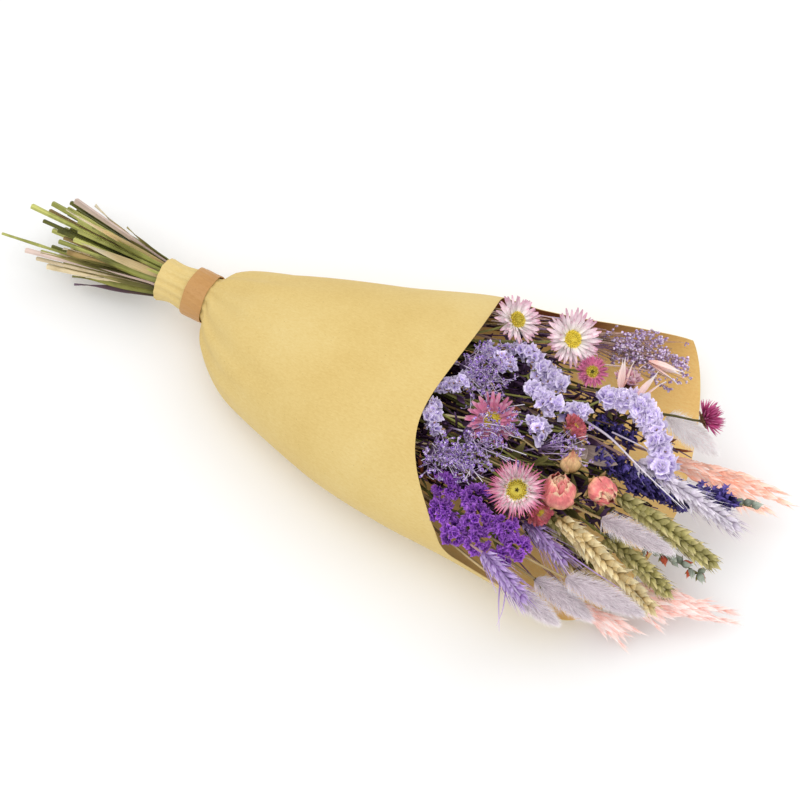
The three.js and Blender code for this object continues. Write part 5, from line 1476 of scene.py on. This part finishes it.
# %% Oats, buds and leaves in place
add_oat("pink_oat", [290, 62, 84], [326, 74, 84],
        [([310, 51, 84], [305, 73, 90]), ([323, 50, 82], [331, 74, 86]), ([319, 80, 84], [345, 81, 80])])
add_buds("bud_stem", [372, -34, 48], [412, -32, 44],
         [(0.02, 40, 210, 6), (0.15, 50, 60, 7), (0.32, 50, 240, 8), (0.5, 45, 90, 7), (0.68, 45, 20, 8),
          (0.85, 50, 200, 7), (1, 12, 90, 8)])
add_leaves("leafy_stem", [262, -34, 70], [296, -16, 72],
           [(0.1, 45, 20, 22), (0.3, 45, 200, 20), (0.5, 40, 110, 24), (0.7, 45, 320, 20), (1, 5, 0, 22)],
           3.4, "green_leaf", "green leaf")
add_leaves("taupe_leaf", [292, 4, 66], [302, 4, 69], [(0.5, 35, 200, 18), (1, 8, 90, 30)],
           7.5, "taupe_leaf", "taupe leaf")

# %% [markdown]
# ## The dark inside
# Between the heads the photograph shows deep plum and brown, not paper: the stems and side
# shoots that fill the sleeve, and the shade among them. A loose thicket of dark twigs and small
# leaves stands in the mouth, below the flowers, so that the gaps read as depth: its twigs and most
# of its leaves are painted dark plum as painted shade, and low tones darken all its leaves. Longer
# side stems, in brown, green and straw, run through its top.

# %% Undergrowth
THICKETS = [
    {"layer": "low", "shoots": 110, "x": (120, 190), "y": (-52, 50), "z": (28, 52), "reach": (60, 130),
     "ceiling": 70, "leaf": 1.0, "dark": 0.68},
    {"layer": "high", "shoots": 105, "x": (175, 235), "y": (-58, 56), "z": (52, 66), "reach": (35, 75),
     "ceiling": 77, "leaf": 1.0, "dark": 0.68},
    {"layer": "leafy", "shoots": 95, "x": (235, 300), "y": (-62, 52), "z": (34, 48), "reach": (30, 75),
     "ceiling": 54, "leaf": 1.3, "dark": 0.4},
]
SHOOT_LEAVES = 3
RUST_LEAVES = 0.12
CEILING_SLOPE, CEILING_BEND = 0.1, 230
thicket = Sheaf()
for level in THICKETS:
    rng = seeded(level["layer"])
    leaf_shares = [level["dark"], 1 - RUST_LEAVES - level["dark"], RUST_LEAVES]
    for _ in range(level["shoots"]):
        start = np.array([rng.uniform(*level[axis]) for axis in "xyz"])
        stop = start + np.array([rng.uniform(*level["reach"]), rng.normal(0, 14), rng.uniform(4, 24)])
        stop[2] = min(stop[2], level["ceiling"] - CEILING_SLOPE * max(0, stop[0] - CEILING_BEND))
        middle = (start + stop) / 2 + rng.normal(0, 4, 3)
        radii = np.linspace(0.8, 0.4, 7)
        # Painted shade: every shoot is dark plum.
        shoot = thicket.twig([start, middle, stop], 7, radii, 4, "plum shade", rng.uniform())
        spots = along_line(shoot, rng.uniform(0.3, 1, SHOOT_LEAVES))
        ways = unit(directions(shoot)[3] + rng.normal(0, 0.7, (SHOOT_LEAVES, 3)) + [0, 0, 0.3])
        lengths = rng.uniform(8, 17, SHOOT_LEAVES) * level["leaf"]
        # Painted shade: most leaves are dark plum, and their low tones darken all of them.
        leaf_finish = rng.choice(["plum shade", "green leaf", "rust leaf"], p=leaf_shares)
        fronts = rng.normal(0, 1, (SHOOT_LEAVES, 3)) + UP
        thicket.stamp(BRACT, leaf_finish, spots, ways, fronts, triples(lengths * 0.15, lengths, lengths),
                      rng.uniform(0, 0.5, SHOOT_LEAVES))

# %% Side stems
SIDE_STEMS = 26
SIDE_STEM_SHARES = {"brown stem": 0.34, "green stem": 0.3, "dark stem": 0.24, "straw stem": 0.12}
rng = seeded("side stems")
for _ in range(SIDE_STEMS):
    start = np.array([rng.uniform(196, 222), rng.uniform(-56, 20), rng.uniform(62, 72)])
    stop = start + [rng.uniform(70, 118), rng.normal(6, 13), rng.uniform(0, 10)]
    middle = (start + stop) / 2 + rng.normal(0, 3, 3) + UP * 3
    finish = rng.choice(list(SIDE_STEM_SHARES), p=list(SIDE_STEM_SHARES.values()))
    thicket.twig([start, middle, stop], 9, np.linspace(1.0, 0.5, 9), 5, finish, rng.uniform())
thicket.build("undergrowth", "sea_lavender")

# %% [markdown]
# ## Dry blades among the cut stems
# Grasses keep their leaves when they are cut, so flat blades in straw and green and a few dark
# ones lie along the bare stems. They are what makes the cut end look like a handful of plants and
# not like a bundle of rods.

# %% Dry blades
DRY_BLADE = blade([0.5, 0.9, 1.0, 0.8, 0.45, 0.05], rows=12, bend=0.25, cup=0.03, thick=0.008, wave=0.012)
BLADE_COUNT = 36
BLADE_SHARES = {
    "dry blade": 0.3, "straw stem": 0.12, "green leaf": 0.22, "green stem": 0.26, "plum blade": 0.1,
}
COLLAR_MIDDLE = np.array([-36.0, 0.0, 37.6])
COLLAR_REACH = 12.5
blades = Sheaf()
rng = seeded("dry blades")
for k in range(BLADE_COUNT):
    turn = GOLDEN_TURN * k
    out = np.array([0.0, math.cos(turn), math.sin(turn)])
    reach = COLLAR_REACH * math.sqrt((k + 0.5) / BLADE_COUNT)
    root = COLLAR_MIDDLE + out * reach + [8, 0, 0]
    way = unit([-97, out[1] * reach * 1.3 - 3.5, out[2] * reach * 0.5 - 5] + rng.normal(0, 2.6, 3))
    length = rng.uniform(50, 100)
    half = rng.uniform(1.6, 3.4)
    finish = rng.choice(list(BLADE_SHARES), p=list(BLADE_SHARES.values()))
    front = out + rng.normal(0, 0.6, 3)
    blades.stamp(DRY_BLADE, finish, root, way, front, [half, length, length], rng.uniform())
blades.build("dry_blades", "green_leaf")

# %% [markdown]
# ## The kraft paper
# One sheet is rolled into a sleeve, pinched by the tape and left open at the flowers. It could be
# made with a cloth simulation, but a stiff sheet keeps long straight folds that run from the
# neck, and those are easier to shape by rule. The cross section changes from a small circle at
# the neck to a wide oval that rests on the table, and the folds ride on top of it.

# %% The profile of the sleeve
def smooth_profile(knots):
    """A smooth curve through knots that never overshoots them."""
    places, values = np.array(knots, float).T
    widths = np.diff(places)
    slopes = np.diff(values) / widths
    tangents = np.zeros(len(places))
    same_way = slopes[:-1] * slopes[1:] > 0
    with np.errstate(divide="ignore", invalid="ignore"):
        mean = 2 * slopes[:-1] * slopes[1:] / (slopes[:-1] + slopes[1:])
    tangents[1:-1] = np.where(same_way, mean, 0)

    def value_at(x):
        x = np.clip(x, places[0], places[-1])
        k = np.clip(np.searchsorted(places, x, side="right") - 1, 0, len(widths) - 1)
        t = (x - places[k]) / widths[k]
        rise = (values[k + 1] - values[k]) * t ** 2 * (3 - 2 * t)
        lean = widths[k] * (tangents[k] * t * (1 - t) ** 2 - tangents[k + 1] * t ** 2 * (1 - t))
        return values[k] + rise + lean

    return value_at


wrap_centre = smooth_profile([
    (10, 0), (20, -3), (58, -10.5), (130, -11), (196, -5), (253, 2), (298, 8), (335, 12), (380, 13)])
wrap_half = smooth_profile([
    (-33, 14.3), (-22, 14.6), (-10, 16.2), (8, 16.9), (11, 19.5), (15, 29), (26, 39.5), (58, 55.5),
    (130, 79), (196, 96), (253, 105), (298, 114), (335, 120), (380, 124)])
wrap_middle = smooth_profile([(12, 38), (26, 36), (50, 38), (120, 45), (200, 51), (380, 50)])
wrap_top = smooth_profile([
    (-33, 52.3), (-22, 52.6), (-10, 54.2), (8, 54.9), (15, 57.5), (26, 63), (50, 75), (90, 85), (120, 90),
    (180, 97), (200, 99), (380, 99)])
wrap_bottom = smooth_profile([
    (-33, 23.7), (-22, 23.4), (-10, 21.8), (8, 21.1), (15, 14), (26, 4), (40, -4), (60, -8), (120, -12),
    (380, -14)])
pleat_depth = smooth_profile([(-33, 0.35), (-12, 0.8), (8, 0.45), (14, 0.9), (30, 1.1), (60, 0.5), (110, 0)])

# %% Pleats and folds
LAST_STEP = 14
STEPS = np.arange(LAST_STEP + 1)
COLUMN_SPOTS = [0, 0.08, 0.17, 0.27, 0.37, 0.45, 0.5, 0.508, 0.516, 0.525, 0.58, 0.67, 0.77, 0.885, 1]
LOOSE_FROM, LOOSE_OVER = 20, 160
COLLAR_FLARE = 2.6
FLARE_FROM, FLARE_OVER = -18, 15
PLEAT_EDGE = 0.6
FOLD_WRAP_HALF = 60
FOLDS = 34

rng = seeded("folds")
pleat_sizes = rng.uniform(0.3, 1.9, 2 * LAST_STEP + 1)
fold_turns = rng.uniform(-math.pi, math.pi, FOLDS)
fold_starts = rng.uniform(-20, 40, FOLDS)
fold_lengths = rng.uniform(50, 170, FOLDS)
fold_depths = rng.uniform(0.15, 0.6, FOLDS) * rng.choice([-1, 1], FOLDS)
fold_widths = rng.uniform(0.03, 0.085, FOLDS)


def sleeve_point(side, step, x, inset):
    """A point of the sheet: step counts from 0 at the top round to LAST_STEP at the bottom."""
    share = step / LAST_STEP
    loosening = np.clip((x - LOOSE_FROM) / LOOSE_OVER, 0, 1)
    loosening = loosening ** 2 * (3 - 2 * loosening)
    mouth_share = np.interp(step, STEPS, COLUMN_SPOTS)
    turn = math.pi * (share + (mouth_share - share) * loosening)
    crest = np.cos(math.pi * step)
    own_size = np.interp(side * step, np.arange(-LAST_STEP, LAST_STEP + 1), pleat_sizes)
    pleat = pleat_depth(x) * own_size * np.sign(crest) * np.abs(crest) ** PLEAT_EDGE
    flare = np.clip((FLARE_FROM - x) / FLARE_OVER, 0, 1) ** 2
    pleat = pleat + COLLAR_FLARE * flare * (1 + 0.5 * np.cos(turn * 2 + 1))
    half = wrap_half(x)
    room = np.clip(half / FOLD_WRAP_HALF, 0, 1)
    for spot, start, length, depth, width in zip(
            fold_turns, fold_starts, fold_lengths, fold_depths, fold_widths):
        along_fold = np.clip((x - start) / length, 0, 1)
        away = np.abs(side * turn - spot) / width
        pleat = pleat + depth * np.sin(math.pi * along_fold) * np.exp(-away) * room
    pleat = pleat - inset
    middle, top, bottom = wrap_middle(x), wrap_top(x), wrap_bottom(x)
    reach = np.where(np.cos(turn) > 0, top - middle, middle - bottom)
    y = wrap_centre(x) + side * (half + pleat) * np.sin(turn)
    z = np.maximum(middle + (reach + pleat) * np.cos(turn), inset)
    return np.stack([x, y, z], axis=-1)


# %% The sheet
FAR_EDGE = [201, 203, 205, 204, 201, 202, 222, 262, 300, 334, 340, 350, 361, 371, 378]
NEAR_EDGE = [201, 198, 201, 219, 240, 249, 254, 278, 302, 324, 336, 350, 363, 373, 378]
SLEEVE_START = -33.0
SHEET_THICKNESS = 0.45
HALF_COLUMNS = 76
SLEEVE_ROWS = 100
ROW_CROWDING = 1.25
EDGE_SAMPLES = 561
EDGE_WINDOW = 21
CRISP_FROM, CRISP_OVER = 5.5, 1.5

near_steps = np.linspace(-LAST_STEP, 0, HALF_COLUMNS + 1)[:-1]
far_steps = np.linspace(0, LAST_STEP, HALF_COLUMNS + 1)[:-1]
steps = np.concatenate([near_steps, far_steps])
turned = np.linspace(-LAST_STEP, LAST_STEP, EDGE_SAMPLES)
edge = np.where(turned < 0, np.interp(-turned, STEPS, NEAR_EDGE), np.interp(turned, STEPS, FAR_EDGE))
soft_edge = edge
for _ in range(3):
    padded = np.pad(soft_edge, EDGE_WINDOW // 2, mode="edge")
    soft_edge = np.convolve(padded, np.full(EDGE_WINDOW, 1 / EDGE_WINDOW), mode="valid")
crisp = np.clip((turned - CRISP_FROM) / CRISP_OVER, 0, 1)
edge = np.interp(steps, turned, soft_edge + (edge - soft_edge) * crisp)
rows = np.linspace(0, 1, SLEEVE_ROWS)[:, None] ** ROW_CROWDING
reach_x = SLEEVE_START + (edge - SLEEVE_START) * rows
side_of_step = np.broadcast_to(np.where(steps < 0, -1.0, 1.0), reach_x.shape)
step_grid = np.broadcast_to(np.abs(steps), reach_x.shape)
outside = sleeve_point(side_of_step, step_grid, reach_x, 0.0)
inside = sleeve_point(side_of_step, step_grid, reach_x, SHEET_THICKNESS)
sheet_rings = np.concatenate([outside, inside[::-1]])[:, ::-1]
row_shares = np.concatenate([rows, rows[::-1]])[:, 0]
print("sheet grid", sheet_rings.shape)

# %% [markdown]
# ## Kraft paper's finish
# Kraft is unbleached pulp: golden brown, a little cloudy, with short fibres and scattered dark
# flecks. Handling leaves it slightly glossy on the ridges, so the fibres also drive roughness. Its
# inside has painted light: lighter colours and a faint emission, for the white studio that shines
# into it. Along its far rim, which lies in its own shade, a brown tone is painted shade.

# %% Kraft finish
PULP_SCALE = 900.0
FIBRE_SHARE, CLOUD_SHARE = 0.55, 0.45
FLECK_STRENGTH = 0.6
GLOSS_RANGE, GLOSS_SHIFT = 0.25, 0.12
# Painted light and shade of the kraft's inside: its faint emission, and where the painted rim shade lies
# across and along the sheet.
PAINTED_PAPER_GLOW = 0.1
RIM_SHADE_START, RIM_SHADE_END = 0.67, 0.82
RIM_SHADE_TAPER = (262, 335)
MIX_FIRST, MIX_SECOND, MIX_RESULT = 6, 7, 2


def mixed_colour(tree, share, first, code):
    """A colour that gives way to a web colour as the share goes from 0 to 1."""
    mix = new_node(tree, "ShaderNodeMix", data_type="RGBA", Factor=share)
    connect(tree, first, mix.inputs[MIX_FIRST])
    connect(tree, paint(code), mix.inputs[MIX_SECOND])
    return mix.outputs[MIX_RESULT]


def paper_finish(name, light, middle, dark, fleck, relief, rough=0.62, rim=None):
    """Kraft paper; rim is the colour of a painted shade on its far rim, seen from inside, and with it comes
    a faint emission that is painted light.
    """
    FINISHES[name], tree, shader = new_material(name, specular=0.35)
    pulp = use_group(tree, pulp_group, Scale=PULP_SCALE)
    clouds = math_node(tree, "MULTIPLY", pulp["Clouds"], CLOUD_SHARE)
    blend = math_node(tree, "MULTIPLY_ADD", pulp["Fibres"], FIBRE_SHARE, clouds)
    ramp = colour_ramp(tree, blend, [(0.3, dark), (0.5, middle), (0.72, light)])
    flecks = math_node(tree, "MULTIPLY", pulp["Flecks"], FLECK_STRENGTH)
    colour = mixed_colour(tree, flecks, ramp, fleck)
    # Painted shade: the inside turns to the rim colour along the far rim and fades out between x = 262 and
    # 335; a faint emission adds painted light.
    if rim:
        taper_start, taper_end = (in_metres([x, 0, 0])[0] for x in RIM_SHADE_TAPER)
        place = new_node(tree, "ShaderNodeSeparateXYZ", Vector=object_places(tree)).outputs
        rim_shade_across = map_range(tree, traits_of(tree)[0], RIM_SHADE_END, RIM_SHADE_START)
        rim_shade_along = map_range(tree, place[0], taper_end, taper_start)
        colour = mixed_colour(tree, math_node(tree, "MULTIPLY", rim_shade_across, rim_shade_along), colour, rim)
        connect(tree, colour, shader.inputs["Emission Color"])
        shader.inputs["Emission Strength"].default_value = PAINTED_PAPER_GLOW
    connect(tree, colour, shader.inputs["Base Color"])
    gloss = math_node(tree, "MULTIPLY_ADD", pulp["Fibres"], GLOSS_RANGE, rough - GLOSS_SHIFT)
    connect(tree, gloss, shader.inputs["Roughness"])
    bump = new_node(tree, "ShaderNodeBump", Strength=0.35, Distance=relief, Height=pulp["Fibres"])
    connect(tree, bump.outputs[0], shader.inputs["Normal"])


paper_finish("kraft", "#e5ce8f", "#ddc17b", "#d2b268", "#8a6a3c", 0.00012)
# The inside's colours are painted lighter than the outside's, as painted light, and its rim colour is a
# painted shade.
paper_finish("kraft inside with painted light and rim shade", "#fbdf9c", "#f5cd80", "#e8ba6a", "#8a6a3c", 0.00012, rim="#7a4226")
paper_finish("tape", "#cb9d63", "#c19056", "#b27f47", "#7d5a34", 0.00018, rough=0.42)

# %% The paper wrap
sleeve = Sheaf()
sheet = loft(sheet_rings, np.abs(steps)[::-1] / LAST_STEP, row_shares, looped=True)
sheet["faces"] = np.split(sheet["faces"][0], 2)
sleeve.add(sheet, ["kraft", "kraft inside with painted light and rim shade"])
sleeve.build("kraft_sleeve", "kraft_paper", "paper_wrap", crease=60)

# %% [markdown]
# ## The tape
# Brown paper tape goes once round the neck and a little further, so its free end lies on its own
# first turn. It is wound as a spiral strip, with small wrinkles where it bridges the pleats.

# %% Tape
TAPE_START, TAPE_END = -9.0, 7.5
TAPE_TURNS = 1.12
TAPE_FROM = 0.9
TAPE_RADIUS, TAPE_THICKNESS = 18.15, 0.42
LAP_START, LAP_OVER, LAP_RISE = 0.93, 0.07, 0.5
TAPE_COLUMNS, TAPE_ROWS = 15, 170
NECK_HEIGHT = 38

tape_places = np.linspace(0, 1, TAPE_COLUMNS)
tape_shares = np.linspace(0, 1, TAPE_ROWS)
tape_rings = []
for share in tape_shares:
    turn = 2 * math.pi * TAPE_TURNS * share + TAPE_FROM
    lap = np.clip((share * TAPE_TURNS - LAP_START) / LAP_OVER, 0, 1)
    wrinkle = 0.16 * np.sin(23 * turn + 4 * tape_places) + 0.1 * np.sin(9 * turn - 9 * tape_places + 1)
    low = np.full(TAPE_COLUMNS, TAPE_RADIUS + LAP_RISE * lap)
    high = low + TAPE_THICKNESS + np.maximum(wrinkle, -0.2) * np.sin(math.pi * tape_places) ** 0.3
    x = TAPE_START + (TAPE_END - TAPE_START) * tape_places + 0.25 * math.sin(5 * turn)
    upper = triples(x, high * math.sin(turn), NECK_HEIGHT + high * math.cos(turn))
    lower = triples(x, low * math.sin(turn), NECK_HEIGHT + low * math.cos(turn))
    tape_rings.append(np.concatenate([upper[::-1], lower]))
tape = Sheaf()
tape.add(loft(tape_rings, np.concatenate([tape_places[::-1], tape_places]), tape_shares), "tape")
tape.build("neck_tape", "tape", "tape_band", crease=40)

# %% [markdown]
# ## The twine
# Inside the sleeve, jute twine holds the stems. It is two plies that twist round each other, so
# two thin tubes wind round one ring. The ring goes a little more than once round, so that its
# ends overlap.

# %% Twine
TIE_CENTRE = np.array([21.0, 0.0, 38.0])
TIE_RADIUS = 13.8
TIE_TURNS = 1.04
TIE_TWISTS = 34
PLY_RADIUS, PLY_OFFSET = 0.46, 0.42
dried_finish("jute", [(0.0, "#a98c5c"), (0.5, "#bda06e"), (1.0, "#a98c5c")], veins=0.5, count=5, spread=0.3)
twine = Sheaf()
shares = np.linspace(0, 1, 240)
turn = 2 * math.pi * TIE_TURNS * shares
for ply in (0, math.pi):
    twist = 2 * math.pi * TIE_TWISTS * shares + ply
    radius = TIE_RADIUS + PLY_OFFSET * np.cos(twist)
    x = PLY_OFFSET * np.sin(twist) + 0.9 * (shares - 0.5)
    ply_line = TIE_CENTRE + triples(x, radius * np.sin(turn), radius * np.cos(turn))
    twine.add(tube(ply_line, PLY_RADIUS, sides=6), "jute", 0.4 + ply / 10)
twine.build("jute_twine", "twine", "stem_tie")

# %% [markdown]
# ## Floor, light and size
# A white floor, two large soft lights and an even white studio copy a catalogue photograph. The
# broad key hangs above the camera's side, and a weaker fill stands behind the flowers.

# %% Floor
FLOOR_HALF = 4.0
floor_mesh = bpy.data.meshes.new("floor")
corners = [(x * FLOOR_HALF, y * FLOOR_HALF, 0) for x, y in ((-1, -1), (1, -1), (1, 1), (-1, 1))]
floor_mesh.from_pydata(corners, [], [(0, 1, 2, 3)])
floor = new_object("floor", floor_mesh)
floor_paint, _, floor_shader = new_material("white floor", specular=0.5)
floor_shader.inputs["Base Color"].default_value = (0.97, 0.97, 0.97, 1)
floor_shader.inputs["Roughness"].default_value = 0.9
floor_mesh.materials.append(floor_paint)
floor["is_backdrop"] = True

# %% Lights and exposure
STUDIO_LIGHT = 0.72


def soft_light(name, place_mm, aim_mm, size, power):
    """A round soft light that stands at one place and shines towards another."""
    data = bpy.data.lights.new(name, "AREA")
    data.shape = "DISK"
    data.size = size
    data.energy = power
    lamp = new_object(name, data)
    lamp.location = Vector(in_metres(place_mm))
    look_along(lamp, Vector(in_metres(aim_mm)) - lamp.location)


soft_light("key", (60, -450, 1500), (170, 0, 40), 2.0, 10.5)
soft_light("fill", (700, 800, 1200), (250, 0, 40), 1.3, 5)
world = bpy.data.worlds.new("studio")
world.use_nodes = True
world.node_tree.nodes["Background"].inputs["Color"].default_value = (1, 1, 1, 1)
world.node_tree.nodes["Background"].inputs["Strength"].default_value = STUDIO_LIGHT
bpy.context.scene.world = world
bpy.context.scene.view_settings.view_transform = "Standard"

# %% Sizes
low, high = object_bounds()
print("visual box in mm", [round(v * 1000, 1) for v in low], [round(v * 1000, 1) for v in high])
